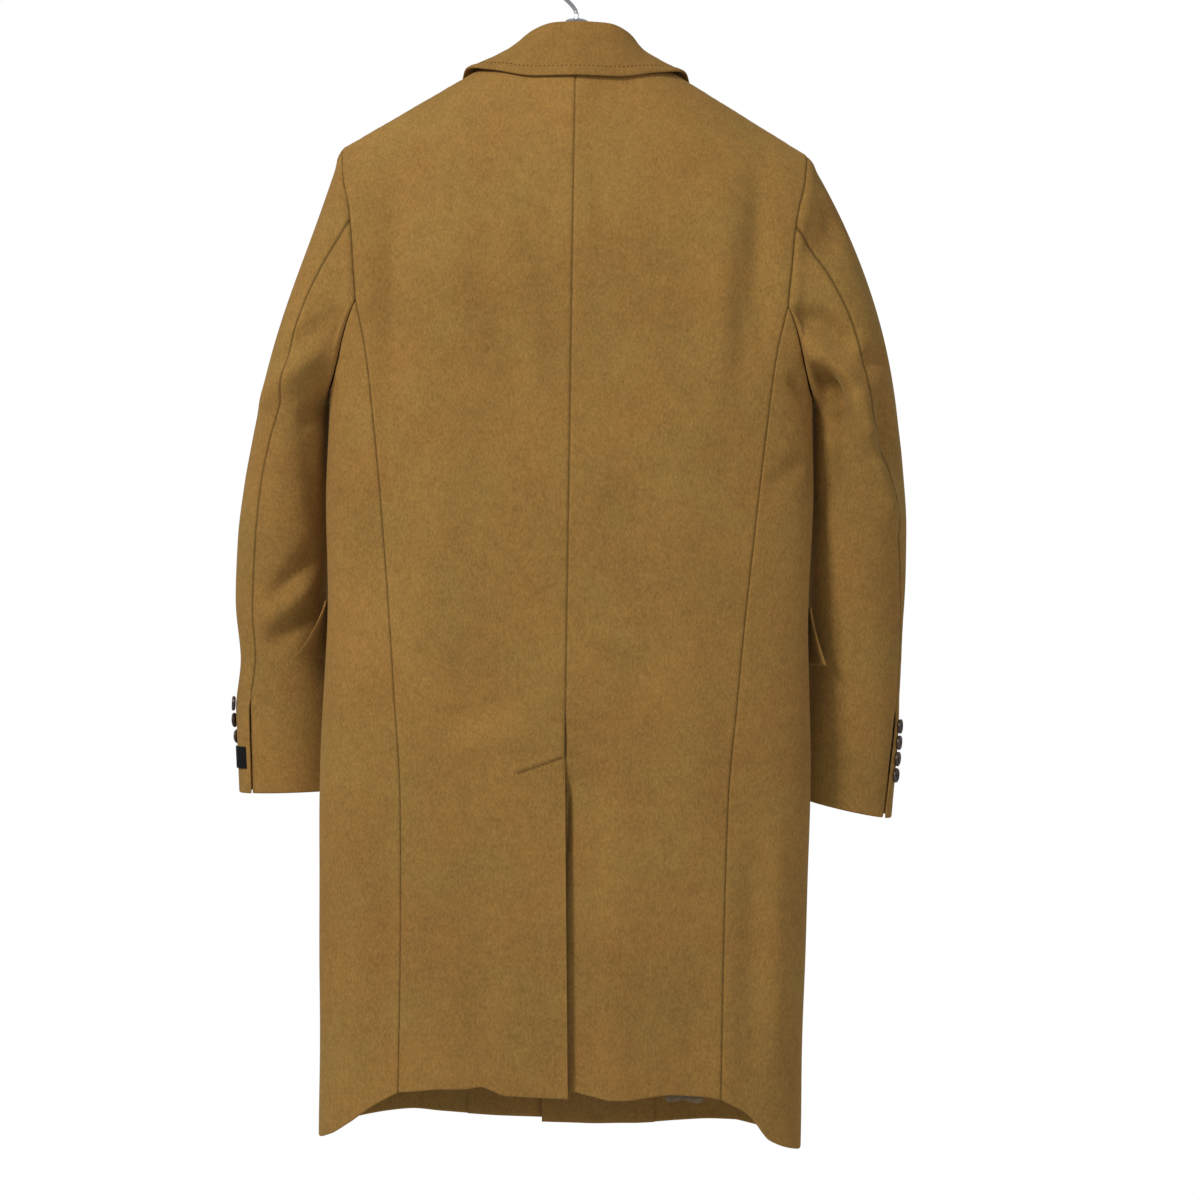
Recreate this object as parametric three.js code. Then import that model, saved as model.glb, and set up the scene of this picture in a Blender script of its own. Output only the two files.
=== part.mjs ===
// Wool overcoat on a hanger, in millimetres, +Z up.
// The coat's back faces +Y, the wearer's left is +X, and the origin lies under the crown of the hook.
// A "drop" is a height measured downwards from a reference line at the collar seam.
import * as THREE from "three";

// Driving sizes
const HOOK_DROP = 100; // from the crown of the hook down to the reference line
const CLOTH = 2.4; // thickness of the overcoating
const HALF_SEAM = 0.15; // each piece stops this far short of a seam
const LAYER_GAP = 0.6; // air between two layers that lie on each other
const SHOULDER_TIP = 232; // half the shoulder width
const SHOULDER_SLOPE = 0.6; // fall of the shoulder ridge for each millimetre outwards
const SHOULDER_RISE = 46; // where the two ridges would meet above the reference line
const ROUNDING_CENTRE = 250; // height over which the cloth rounds off the ridge, at the centre
const ROUNDING_TIP = 170; // the same at the shoulder tip
const RING_POWER = 2.5; // how square a level section of the body is, 2 being an ellipse
const NECK_HALF = 75; // half-width of the neckline
const NECK_BACK_DROP = -5; // the neckline at the centre back
const NECK_POINT_DROP = -1; // the neckline where it meets the shoulder
const UNDERARM_DROP = 250; // where the side body's seams meet the armhole
const SIDE_SCOOP = 84; // how far the side body's top edge sinks between its seams
const SCOOP_POWER = 2.2; // how square that scoop is
const FRONT_OVERLAP = 20; // each front runs this far past the centre
const BREAK_DROP = 370; // where the lapel's roll line starts at the front edge
const FRONT_INSET = 7; // the right front lies this far under the left one
const INSET_REACH = 70; // distance from the centre at which the right front starts to sink
const INSET_EASE = 45; // width over which it does so
const VENT_DROP = 690; // top of the centre-back vent
const VENT_LAP = 45; // width of the right back's underlap
const VENT_LEAN = 8; // how far the left vent edge drifts over the right back at the hem
const VENT_HEIGHT = 330; // from the top of the vent to the hem
const VENT_STEP = 40; // height over which the underlap widens
const LAP_REACH = 50; // distance from the centre at which the right back starts to sink
const LAP_EASE = 20; // width over which it does so
const HEM_LEVEL = 1020; // mean drop of the back hem
const FACING_CLOTH = 1.8;
const LINING_CLOTH = 1;
const LINING_ABOVE = 34; // how far the lining strip reaches up behind the hem
const LINING_BELOW = 6; // how far it hangs out below the hem
const CUFF_BUTTON = { radius: 7.5, thickness: 3.6, segments: 12 };
const FRONT_BUTTON = { radius: 14, thickness: 4.5, segments: 20 };
const LABEL = { top: 694, bottom: 716, from: 62, to: 104, inner: 0.9, outer: 1.8 };

// Sizes of the hanger
const BAR_REACH = 208; // half the length of the bar
const BAR_THICK = [8, 10.5]; // half-thickness at the middle and at the ends
const BAR_TALL = [17, 12]; // half-height at the middle and at the ends
const BAR_BEND = 12; // how gently the bar bends under the neck
const BAR_GAP = 0.45; // air between the bar and the cloth
const FERRULE_RADIUS = 12;
const FERRULE_TOP = -60;
const FERRULE_BORE = 0.3; // air round the shank
const HOOK_WIRE = 2; // radius of the wire
const HOOK_INNER = 20; // inner radius of the hook
const HOOK_START = -35; // the hook's arc, in degrees
const HOOK_END = 200;

// How finely each piece is divided
const UPPER_ROWS = 9;
const LOWER_ROWS = 14;
const PANEL_COLUMNS = 11;
const SIDE_COLUMNS = 6;
const ELBOW_ROW = 6; // row of the armhole where the sleeve's two seams start
const CAP_ROWS = 7;
const ARM_ROWS = 12;
const COLLAR_SEGMENTS = 28;
const BAR_SECTIONS = 20;
const BAR_SIDES = 12;
const HOOK_STEPS = 30;

// Level sections of the body: half-width, depth of the back and depth of the front
const BODY = [
  { drop: 100, half: 300, back: 64, front: 70 },
  { drop: 150, half: 298, back: 64, front: 71 },
  { drop: 200, half: 290, back: 65, front: 72 },
  { drop: 250, half: 276, back: 65, front: 72 },
  { drop: 283, half: 258, back: 65, front: 72 },
  { drop: 310, half: 246, back: 65, front: 72 },
  { drop: 334, half: 241, back: 65, front: 72 },
  { drop: 440, half: 243, back: 64, front: 71 },
  { drop: 560, half: 240, back: 64, front: 72 },
  { drop: 700, half: 245, back: 67, front: 74 },
  { drop: 820, half: 244, back: 71, front: 75 },
  { drop: 960, half: 241, back: 74, front: 76 },
  { drop: 1100, half: 240, back: 75, front: 77 },
];

// Distance of the armhole and of the two side seams from the centre
const ARMHOLE = [
  { drop: 96, back: 232, front: 232 },
  { drop: 128, back: 228, front: 223 },
  { drop: 153, back: 222, front: 214 },
  { drop: 180, back: 218, front: 208 },
  { drop: 210, back: 215.5, front: 205 },
  { drop: 250, back: 212, front: 206 },
];
const SIDE_SEAM = [
  { drop: 250, back: 212, front: 206 },
  { drop: 300, back: 202, front: 200 },
  { drop: 376, back: 193, front: 194 },
  { drop: 459, back: 184, front: 190 },
  { drop: 540, back: 176, front: 188 },
  { drop: 633, back: 168, front: 186 },
  { drop: 735, back: 160, front: 184 },
  { drop: 840, back: 158, front: 182 },
  { drop: 1100, back: 157, front: 180 },
];

// Hem: the back's drop by distance from the centre, the side body's and the front's by share of width
const HEM = {
  left: {
    back: [
      { x: 0, drop: 1022.5 }, { x: 36, drop: 1021.7 }, { x: 54, drop: 1021 }, { x: 66, drop: 1017 },
      { x: 77, drop: 1014 }, { x: 92, drop: 1016 }, { x: 115, drop: 1016.5 }, { x: 135, drop: 1019 },
      { x: 157, drop: 1021.5 },
    ],
    side: [
      { share: 0, drop: 1021.5 }, { share: 0.1, drop: 1038 }, { share: 0.2, drop: 1055.5 },
      { share: 0.33, drop: 1070 }, { share: 0.5, drop: 1077 }, { share: 0.7, drop: 1076 },
      { share: 0.85, drop: 1071 }, { share: 1, drop: 1067 },
    ],
    front: [
      { share: 0, drop: 1075.5 }, { share: 0.3, drop: 1073.5 }, { share: 0.6, drop: 1069 },
      { share: 0.8, drop: 1065.5 }, { share: 1, drop: 1067 },
    ],
  },
  right: {
    back: [
      { x: 0, drop: 1015 }, { x: 10, drop: 1016 }, { x: 28, drop: 1019.8 }, { x: 50, drop: 1023.4 },
      { x: 66, drop: 1023.3 }, { x: 82, drop: 1021.3 }, { x: 105, drop: 1019 }, { x: 128, drop: 1020.7 },
      { x: 144, drop: 1022 }, { x: 157, drop: 1024.5 },
    ],
    side: [
      { share: 0, drop: 1024.5 }, { share: 0.1, drop: 1040 }, { share: 0.2, drop: 1067 },
      { share: 0.33, drop: 1077 }, { share: 0.5, drop: 1082 }, { share: 0.7, drop: 1081 },
      { share: 0.85, drop: 1076 }, { share: 1, drop: 1070.5 },
    ],
    front: [
      { share: 0, drop: 1078 }, { share: 0.3, drop: 1079.5 }, { share: 0.6, drop: 1074.5 },
      { share: 0.8, drop: 1071.5 }, { share: 1, drop: 1070.5 },
    ],
  },
};

// Drape of the back: soft upright troughs and ridges, from their top to their bottom
const DRAPES = [
  { side: 1, x: 181, lean: 0, top: 60, bottom: 560, width: 15, rise: -5 },
  { side: 1, x: 112, lean: 0.04, top: 150, bottom: 900, width: 30, rise: 2.5 },
  { side: -1, x: 192, lean: -0.1, top: 60, bottom: 380, width: 16, rise: -5.5 },
  { side: -1, x: 120, lean: 0.03, top: 180, bottom: 980, width: 32, rise: 2.5 },
  { side: 1, x: 78, lean: 0, top: 760, bottom: 1180, width: 20, rise: -5 },
  { side: -1, x: 130, lean: 0, top: 740, bottom: 1180, width: 24, rise: -5 },
  { side: -1, x: 55, lean: 0, top: 800, bottom: 1180, width: 24, rise: 4 },
];

// Level sections of the sleeves below the cap: centre, half-sizes, turn, and the elbow seam's place
const SLEEVES = {
  left: {
    crown: 0.02,
    cuffOut: 741,
    cuffIn: 738,
    sections: [
      { drop: 350, x: 278.5, y: -24, across: 35.5, deep: 62, turn: 0, elbow: 10 },
      { drop: 385, x: 282.8, y: -30, across: 39.2, deep: 59, turn: -2, elbow: 24 },
      { drop: 430, x: 287.2, y: -37, across: 43.6, deep: 54, turn: -4, elbow: 33 },
      { drop: 485, x: 291, y: -43, across: 46.6, deep: 49, turn: -7, elbow: 37 },
      { drop: 545, x: 293, y: -50, across: 47, deep: 43, turn: -10, elbow: 41 },
      { drop: 600, x: 290, y: -55, across: 45, deep: 38, turn: -13, elbow: 46 },
      { drop: 660, x: 284, y: -57, across: 55, deep: 35, turn: -16, elbow: 54 },
      { drop: 745, x: 278.5, y: -56, across: 56, deep: 32, turn: -20, elbow: 58 },
    ],
  },
  right: {
    crown: 0.28,
    cuffOut: 757,
    cuffIn: 737,
    sections: [
      { drop: 350, x: 286, y: -22, across: 42.5, deep: 62, turn: 0, elbow: 12 },
      { drop: 400, x: 290, y: -29, across: 46, deep: 58, turn: -2, elbow: 28 },
      { drop: 465, x: 293, y: -37, across: 49, deep: 52, turn: -4, elbow: 52 },
      { drop: 515, x: 293.5, y: -43, across: 49.2, deep: 48, turn: -6, elbow: 62 },
      { drop: 575, x: 293, y: -49, across: 48, deep: 43, turn: -8, elbow: 74 },
      { drop: 630, x: 291.5, y: -52, across: 48.2, deep: 41, turn: -10, elbow: 76 },
      { drop: 690, x: 287, y: -54, across: 51.2, deep: 39, turn: -12, elbow: 70 },
      { drop: 760, x: 282.5, y: -52, across: 50.5, deep: 37, turn: -14, elbow: 66 },
    ],
  },
};
const UNDERARM_SPREAD = 0.35; // how far the sleeve leaves the armhole outwards below the crown
const ARRIVE_STEP = 20; // height over which the sleeve's line below the cap is taken
const FOREARM_SEAM = 215; // the sleeve's front seam, in degrees round from the back
const SLEEVE_RADIUS = 50; // turns an angle round the sleeve into a length for its folds

// Folds of the sleeves: place, turn from upright, half-length, half-width and rise
const SLEEVE_FOLDS = [
  { side: 1, around: -60, drop: 357, turn: -65, length: 30, width: 13, rise: -6 },
  { side: 1, around: -26, drop: 524, turn: -52, length: 36, width: 13, rise: -6 },
  { side: 1, around: -8, drop: 556, turn: -42, length: 42, width: 14, rise: 4 },
  { side: 1, around: -24, drop: 586, turn: -55, length: 50, width: 14, rise: -7 },
  { side: 1, around: 150, drop: 540, turn: 50, length: 40, width: 16, rise: -5 },
  { side: -1, around: -58, drop: 268, turn: -50, length: 28, width: 13, rise: -5 },
  { side: -1, around: -30, drop: 303, turn: -48, length: 48, width: 14, rise: 6 },
  { side: -1, around: -52, drop: 330, turn: -35, length: 32, width: 15, rise: -9 },
  { side: -1, around: 24, drop: 332, turn: 0, length: 44, width: 13, rise: -5 },
  { side: -1, around: 150, drop: 430, turn: 50, length: 44, width: 16, rise: -5 },
];

// Half of the collar, from the centre back to its front end: roll line, free edge and gorge
const COLLAR = [
  { at: 0, rollX: 0, rollY: 29, rollDrop: -31, edgeX: 0, edgeY: 45, edgeDrop: 17, gorge: 0 },
  { at: 1, rollX: 26, rollY: 26.5, rollDrop: -30, edgeX: 42, edgeY: 41, edgeDrop: 14, gorge: 0 },
  { at: 2, rollX: 44, rollY: 19, rollDrop: -24, edgeX: 80, edgeY: 24, edgeDrop: 12, gorge: 0 },
  { at: 3, rollX: 57, rollY: 8, rollDrop: -15, edgeX: 103, edgeY: 7, edgeDrop: 16, gorge: 0 },
  { at: 4, rollX: 63, rollY: -6, rollDrop: -9, edgeX: 113, edgeY: -12, edgeDrop: 25, gorge: 0 },
  { at: 5, rollX: 66, rollY: -24, rollDrop: 6, edgeX: 121, edgeY: -24, edgeDrop: 40, gorge: 5 },
  { at: 6, rollX: 66, rollY: -38, rollDrop: 24, edgeX: 126, edgeY: -32, edgeDrop: 52, gorge: 16 },
  { at: 7, rollX: 62, rollY: -46, rollDrop: 44, edgeX: 126, edgeY: -38, edgeDrop: 61, gorge: 27 },
];
const NECK_POINT_AT = 3.8; // station of the collar at which it passes the shoulder
const COLLAR_LEAN = 0.2; // sideways lean of the collar to the wearer's right, for each millimetre of height
const LEAN_START = 4; // height above the reference line at which the lean starts
const COLLAR_ROLL_RADIUS = 2.3;
const STAND_GAP = [1.7, 2.4]; // from the neckline to the stand, behind and at the gorge
const STAND_RISE = 0.9; // how far the stand's lower edge is raised
const FALL_GAP = [0.4, 1.1]; // air under the fall, at the roll and further out
const GORGE_SHARE = 0.62; // how far out along the fall's end the notch lies
const GORGE_GAP = 6; // from the end of the stand to the lapel
const FALL_SHARES = [0, 0.16, 0.31, 0.46, GORGE_SHARE, 0.81, 1];

// Lapel: drop of its gorge, its tip as distance from the centre and drop, and the bulge of its edge
const LAPEL = { gorge: 53, tip: [148, 101], bulge: 16, notch: 4, foot: 4, rows: 11, columns: 5 };

const BUTTON_DROPS = [385, 505, 625];
const CUFF_BUTTONS = {
  left: { first: 651, pitch: 17, around: 92, drift: 11 },
  right: { first: 664, pitch: 16.5, around: 84, drift: -1 },
};

const FLAP = { drop: 545, height: 58, gap: 0.8, ease: 1.5, decay: 0.9 };
const FLAP_FLARE = { left: 26, right: 14 }; // how far the rear lower corner lifts

const COLOURS = {
  wool: 0x96733c,
  sleeve: 0x9a7740,
  facing: 0x684c25,
  lining: 0x725934,
  button: 0x3a2a1e,
  label: 0x141210,
  wood: 0x8a6238,
  metal: 0xb9bcc0,
};

// Small helpers
const lerp = (a, b, t) => a + (b - a) * t;
const clamp = (value, low, high) => Math.min(Math.max(value, low), high);
const smooth = (t) => clamp(t, 0, 1) ** 2 * (3 - 2 * clamp(t, 0, 1));
const signedPower = (value, power) => Math.sign(value) * Math.abs(value) ** power;
const radians = THREE.MathUtils.degToRad;

// Value of one column of a table between its rows, without overshoot
function along(table, column, at, key = "drop") {
  const rise = (i) => (table[i + 1][column] - table[i][column]) / (table[i + 1][key] - table[i][key]);
  const slope = (i) => {
    if (i === 0) return rise(0);
    if (i === table.length - 1) return rise(i - 1);
    const before = rise(i - 1);
    const after = rise(i);
    return before * after > 0 ? (2 * before * after) / (before + after) : 0;
  };
  const place = clamp(at, table[0][key], table[table.length - 1][key]);
  let i = 0;
  while (i < table.length - 2 && table[i + 1][key] < place) i += 1;
  const span = table[i + 1][key] - table[i][key];
  const t = (place - table[i][key]) / span;
  return (
    table[i][column] * (1 + 2 * t) * (1 - t) ** 2 +
    slope(i) * span * t * (1 - t) ** 2 +
    table[i + 1][column] * t ** 2 * (3 - 2 * t) -
    slope(i + 1) * span * t ** 2 * (1 - t)
  );
}

// The body's surface
const ridgeDrop = (x) => SHOULDER_SLOPE * Math.abs(x) - SHOULDER_RISE;
const neckDrop = (x) => lerp(NECK_BACK_DROP, NECK_POINT_DROP, (x / NECK_HALF) ** 2);

// The lapel's roll line: straight from the neck point to the break, then down the front edge
function rollX(drop) {
  const part = (drop - NECK_POINT_DROP) / (BREAK_DROP - NECK_POINT_DROP);
  return Math.max(lerp(NECK_HALF, -FRONT_OVERLAP, part), -FRONT_OVERLAP);
}

// Square of how far the cloth stands out below the ridge: 0 on the ridge, 1 where it hangs straight
function rounding(x, drop) {
  const height = lerp(ROUNDING_CENTRE, ROUNDING_TIP, Math.min(Math.abs(x) / SHOULDER_TIP, 1));
  const part = Math.min((drop - ridgeDrop(x)) / height, 1);
  return 1 - (1 - part) ** 2;
}

// Angle round the body, from 0 at the centre back to 180 degrees at the centre front
function angleAt(x, drop, piece) {
  const turn = Math.asin(signedPower(clamp(x / along(BODY, "half", drop), -1, 1), RING_POWER / 2));
  return piece === "back" ? turn : Math.PI - turn;
}

function basePoint(angle, drop) {
  const x = along(BODY, "half", drop) * signedPower(Math.sin(angle), 2 / RING_POWER);
  const depth = along(BODY, Math.cos(angle) > 0 ? "back" : "front", drop);
  const out = Math.sqrt(Math.max(rounding(x, drop), 0));
  return new THREE.Vector3(x, depth * signedPower(Math.cos(angle), 2 / RING_POWER) * out, -HOOK_DROP - drop);
}

// Negative inside the body's surface and positive outside it
function bodyValue(x, y, z) {
  const drop = -HOOK_DROP - z;
  const depth = along(BODY, y > 0 ? "back" : "front", drop);
  const width = Math.max(1 - (Math.abs(x) / along(BODY, "half", drop)) ** RING_POWER, 0);
  return (y / depth) ** 2 - rounding(x, drop) * width ** (2 / RING_POWER);
}

function bodySlope(point) {
  const step = 0.25;
  const { x, y, z } = point;
  return new THREE.Vector3(
    bodyValue(x + step, y, z) - bodyValue(x - step, y, z),
    bodyValue(x, y + step, z) - bodyValue(x, y - step, z),
    bodyValue(x, y, z + step) - bodyValue(x, y, z - step),
  ).divideScalar(2 * step);
}

// How far the cloth stands off the plain surface: drape, the fronts' overlap and the vent
function relief(side, angle, point) {
  const drop = -HOOK_DROP - point.z;
  if (Math.cos(angle) < 0) {
    const under = side < 0 ? smooth((INSET_REACH - point.x) / INSET_EASE) : 0;
    return -FRONT_INSET * under;
  }
  const lowered = smooth((drop - VENT_DROP + VENT_STEP + 10) / VENT_STEP);
  const lapped = side < 0 ? smooth((LAP_REACH - point.x) / LAP_EASE) * lowered : 0;
  const drapes = DRAPES.filter((drape) => drape.side === side).map((drape) => {
    const t = clamp((drop - drape.top) / (drape.bottom - drape.top), 0, 1);
    const across = (point.x - drape.x - drape.lean * (drop - drape.top)) / drape.width;
    return drape.rise * Math.sin(Math.PI * t) * Math.exp(-(across ** 2));
  });
  const hang = Math.max(rounding(point.x, drop), 0) * smooth(point.x / 30);
  return drapes.reduce((sum, rise) => sum + rise, 0) * hang - (CLOTH + LAYER_GAP) * lapped;
}

// A point of one side's cloth, moved out by a distance, with its normal, both drawn on the left
function leftwardPoint(side, angle, drop, out) {
  const point = basePoint(angle, drop);
  const normal = bodySlope(point).normalize();
  point.addScaledVector(normal, relief(side, angle, point) + out);
  return { point, normal };
}

// The same on its own side
function clothPoint(side, angle, drop, out) {
  const { point, normal } = leftwardPoint(side, angle, drop, out);
  point.x *= side;
  normal.x *= side;
  return { point, normal };
}

const sideName = (side) => (side > 0 ? "left" : "right");

// The hem of a piece at a share of its width
function hemDrop(side, piece, share, x) {
  const hem = HEM[sideName(side)];
  return piece === "back" ? along(hem.back, "drop", Math.abs(x), "x") : along(hem[piece], "drop", share, "share");
}

// Angles of a piece's two long edges at a drop
function pieceEdges(side, piece, drop) {
  const outer = drop < UNDERARM_DROP ? ARMHOLE : SIDE_SEAM;
  if (piece === "side")
    return [
      angleAt(along(SIDE_SEAM, "back", drop), drop, "back"),
      angleAt(along(SIDE_SEAM, "front", drop), drop, "front"),
    ];
  if (piece === "front")
    return [angleAt(rollX(drop), drop, "front"), angleAt(along(outer, "front", drop), drop, "front")];
  const below = drop - VENT_DROP;
  const lap = side < 0 ? -VENT_LAP * smooth(below / VENT_STEP) : -VENT_LEAN * clamp(below / VENT_HEIGHT, 0, 1);
  return [angleAt(lap, drop, "back"), angleAt(along(outer, "back", drop), drop, "back")];
}

// Drop of a piece's row at a share of its width
function rowDrop(side, piece, share, row) {
  const upperPart = 1 - Math.cos((Math.PI / 2) * Math.min(row / UPPER_ROWS, 1));
  const lowerPart = (row - UPPER_ROWS) / LOWER_ROWS;
  if (piece === "side") {
    const top = UNDERARM_DROP + SIDE_SCOOP * (1 - Math.abs(2 * share - 1) ** SCOOP_POWER);
    return lerp(top, hemDrop(side, piece, share), lowerPart);
  }
  const topEdges = pieceEdges(side, piece, NECK_POINT_DROP);
  const topX = Math.abs(basePoint(lerp(topEdges[0], topEdges[1], share), NECK_POINT_DROP).x);
  const top = piece === "back" ? Math.max(ridgeDrop(topX), neckDrop(topX)) : ridgeDrop(topX);
  if (row <= UPPER_ROWS) return lerp(top, UNDERARM_DROP, upperPart);
  const hemEdges = pieceEdges(side, piece, HEM_LEVEL);
  const hemX = basePoint(lerp(hemEdges[0], hemEdges[1], share), HEM_LEVEL).x;
  return lerp(UNDERARM_DROP, hemDrop(side, piece, share, hemX), lowerPart);
}

// Outer and inner points of a body piece between two rows and two shares of its width
function panelGrids(side, piece, shares, rows, out, thickness) {
  const grid = (level) =>
    rows.map((row) =>
      shares.map((share) => {
        const drop = rowDrop(side, piece, share, row);
        const edges = pieceEdges(side, piece, drop);
        return clothPoint(side, lerp(edges[0], edges[1], share), drop, level).point;
      }),
    );
  return [grid(out), grid(out - thickness)];
}

const shareList = (count, from = 0, to = 1) =>
  Array.from({ length: count + 1 }, (_, i) => lerp(from, to, i / count));
const rowList = (from, to) => Array.from({ length: to - from + 1 }, (_, i) => from + i);

// Moves the edges of a pair of grids in by half a seam
function pullBack(outer, inner, edges) {
  const shift = (row, column, nextRow, nextColumn) => {
    const step = outer[nextRow][nextColumn].clone().sub(outer[row][column]).setLength(HALF_SEAM);
    return () => {
      outer[row][column].add(step);
      inner[row][column].add(step);
    };
  };
  const lastRow = outer.length - 1;
  const lastColumn = outer[0].length - 1;
  const moves = [];
  outer.forEach((_, row) => {
    if (edges.includes("first")) moves.push(shift(row, 0, row, 1));
    if (edges.includes("last")) moves.push(shift(row, lastColumn, row, lastColumn - 1));
  });
  outer[0].forEach((_, column) => {
    if (edges.includes("top")) moves.push(shift(0, column, 1, column));
    if (edges.includes("bottom")) moves.push(shift(lastRow, column, lastRow - 1, column));
  });
  moves.forEach((move) => move());
}

// One closed wall between an outer and an inner grid of points
function wallGeometry(outer, inner) {
  const corners = [];
  const quad = (a, b, c, d) => corners.push(a, b, c, a, c, d);
  const lastRow = outer.length - 1;
  const lastColumn = outer[0].length - 1;
  for (let r = 0; r < lastRow; r += 1) {
    for (let c = 0; c < lastColumn; c += 1) {
      quad(outer[r][c], outer[r + 1][c], outer[r + 1][c + 1], outer[r][c + 1]);
      quad(inner[r][c], inner[r][c + 1], inner[r + 1][c + 1], inner[r + 1][c]);
    }
    quad(outer[r][0], inner[r][0], inner[r + 1][0], outer[r + 1][0]);
    quad(outer[r][lastColumn], outer[r + 1][lastColumn], inner[r + 1][lastColumn], inner[r][lastColumn]);
  }
  for (let c = 0; c < lastColumn; c += 1) {
    quad(outer[0][c], outer[0][c + 1], inner[0][c + 1], inner[0][c]);
    quad(outer[lastRow][c], inner[lastRow][c], inner[lastRow][c + 1], outer[lastRow][c + 1]);
  }
  return geometryFrom(corners);
}

// A geometry from triangle corners, turned so that its faces point out
function geometryFrom(corners) {
  let volume = 0;
  for (let i = 0; i < corners.length; i += 3)
    volume += corners[i].dot(new THREE.Vector3().crossVectors(corners[i + 1], corners[i + 2]));
  if (volume < 0)
    for (let i = 0; i < corners.length; i += 3)
      [corners[i + 1], corners[i + 2]] = [corners[i + 2], corners[i + 1]];
  const geometry = new THREE.BufferGeometry().setFromPoints(corners);
  geometry.computeVertexNormals();
  return geometry;
}

// Normals of a grid of points, by the differences between neighbours
function gridNormals(grid, closed) {
  const lastRow = grid.length - 1;
  const count = grid[0].length;
  return grid.map((line, r) =>
    line.map((_, c) => {
      const before = closed ? (c + count - 1) % count : Math.max(c - 1, 0);
      const after = closed ? (c + 1) % count : Math.min(c + 1, count - 1);
      const across = line[after].clone().sub(line[before]);
      const down = grid[Math.min(r + 1, lastRow)][c].clone().sub(grid[Math.max(r - 1, 0)][c]);
      return across.cross(down).normalize();
    }),
  );
}

const coat = new THREE.Group();

function addMesh(name, geometry, colour, roughness = 0.95, metalness = 0) {
  const mesh = new THREE.Mesh(geometry, new THREE.MeshStandardMaterial({ color: colour, roughness, metalness }));
  mesh.name = name;
  coat.add(mesh);
  return mesh;
}

// Back, side body and front of each side
function addPanels(side) {
  const name = sideName(side);
  const back = panelGrids(side, "back", shareList(PANEL_COLUMNS), rowList(0, UPPER_ROWS + LOWER_ROWS), 0, CLOTH);
  pullBack(...back, ["first", "last", "top"]);
  addMesh("back_" + name, wallGeometry(...back), COLOURS.wool);
  const flank = panelGrids(
    side, "side", shareList(SIDE_COLUMNS), rowList(UPPER_ROWS, UPPER_ROWS + LOWER_ROWS), 0, CLOTH,
  );
  pullBack(...flank, ["first", "last", "top"]);
  addMesh("side_" + name, wallGeometry(...flank), COLOURS.wool);
  const front = panelGrids(side, "front", shareList(PANEL_COLUMNS), rowList(0, UPPER_ROWS + LOWER_ROWS), 0, CLOTH);
  pullBack(...front, ["last", "top"]);
  addMesh("front_" + name, wallGeometry(...front), COLOURS.wool);
}

// Facing: the strip inside the front edge, from the break of the lapel to the hem
function addFacing(side) {
  const firstRow = UPPER_ROWS + 3;
  const shares = shareList(PANEL_COLUMNS).slice(0, 6);
  const rows = rowList(firstRow, UPPER_ROWS + LOWER_ROWS);
  const grids = panelGrids(side, "front", shares, rows, -CLOTH - LAYER_GAP, FACING_CLOTH);
  addMesh("facing_" + sideName(side), wallGeometry(...grids), COLOURS.facing);
}

// Strip of lining that hangs out below the right back hem
function addLiningStrip() {
  const edges = pieceEdges(-1, "back", HEM_LEVEL);
  const grid = (out) =>
    shareList(3).map((part) =>
      shareList(PANEL_COLUMNS).slice(7, 11).map((share) => {
        const angle = lerp(edges[0], edges[1], share);
        const hem = hemDrop(-1, "back", share, basePoint(angle, HEM_LEVEL).x);
        return clothPoint(-1, angle, lerp(hem - LINING_ABOVE, hem + LINING_BELOW, part), out).point;
      }),
    );
  const out = -CLOTH - LAYER_GAP;
  addMesh("lining_strip", wallGeometry(grid(out), grid(out - LINING_CLOTH)), COLOURS.lining);
}

// Lapel: lies on the front, from the roll line out to its edge
function addLapel(side) {
  const { gorge, tip, bulge, notch, foot, rows, columns } = LAPEL;
  const grid = (level) =>
    shareList(rows, 0.02, 1).map((part) =>
      shareList(columns).map((share) => {
        const rollDrop = lerp(BREAK_DROP - foot, gorge, part);
        const edgeX = lerp(2 - FRONT_OVERLAP, tip[0], part) + bulge * Math.sin(Math.PI * part);
        const edgeDrop = lerp(BREAK_DROP - foot, tip[1], part);
        const x = lerp(rollX(rollDrop) + 0.5, edgeX, share);
        const drop = lerp(rollDrop, edgeDrop, share) + part * notch * Math.min(share / GORGE_SHARE, 1);
        const out = LAYER_GAP + 0.3 + LAYER_GAP * smooth(share * 3) + level;
        return clothPoint(side, angleAt(x, drop, "front"), drop, out).point;
      }),
    );
  addMesh("lapel_" + sideName(side), wallGeometry(grid(CLOTH), grid(0)), COLOURS.wool);
}

// Moves a point out along the body's normal until it is clear of the cloth
function clearOfBody(point, clearance) {
  for (let turn = 0; turn < 4; turn += 1) {
    const slope = bodySlope(point);
    const distance = bodyValue(point.x, point.y, point.z) / slope.length();
    if (distance < clearance) point.addScaledVector(slope.normalize(), clearance - distance);
  }
  return point;
}

// Point of the neckline: from the centre back over the neck point to the gorge
function neckPoint(at) {
  if (at <= NECK_POINT_AT) {
    const x = NECK_HALF * Math.sin((Math.PI / 2) * (at / NECK_POINT_AT));
    return basePoint(angleAt(x, neckDrop(x), "back"), neckDrop(x));
  }
  const reach = COLLAR[COLLAR.length - 1].at;
  const part = ((at - NECK_POINT_AT) / (reach - NECK_POINT_AT)) ** 1.3;
  const drop = lerp(NECK_POINT_DROP, LAPEL.gorge - GORGE_GAP, part);
  return basePoint(angleAt(rollX(drop), drop, "front"), drop);
}

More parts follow.
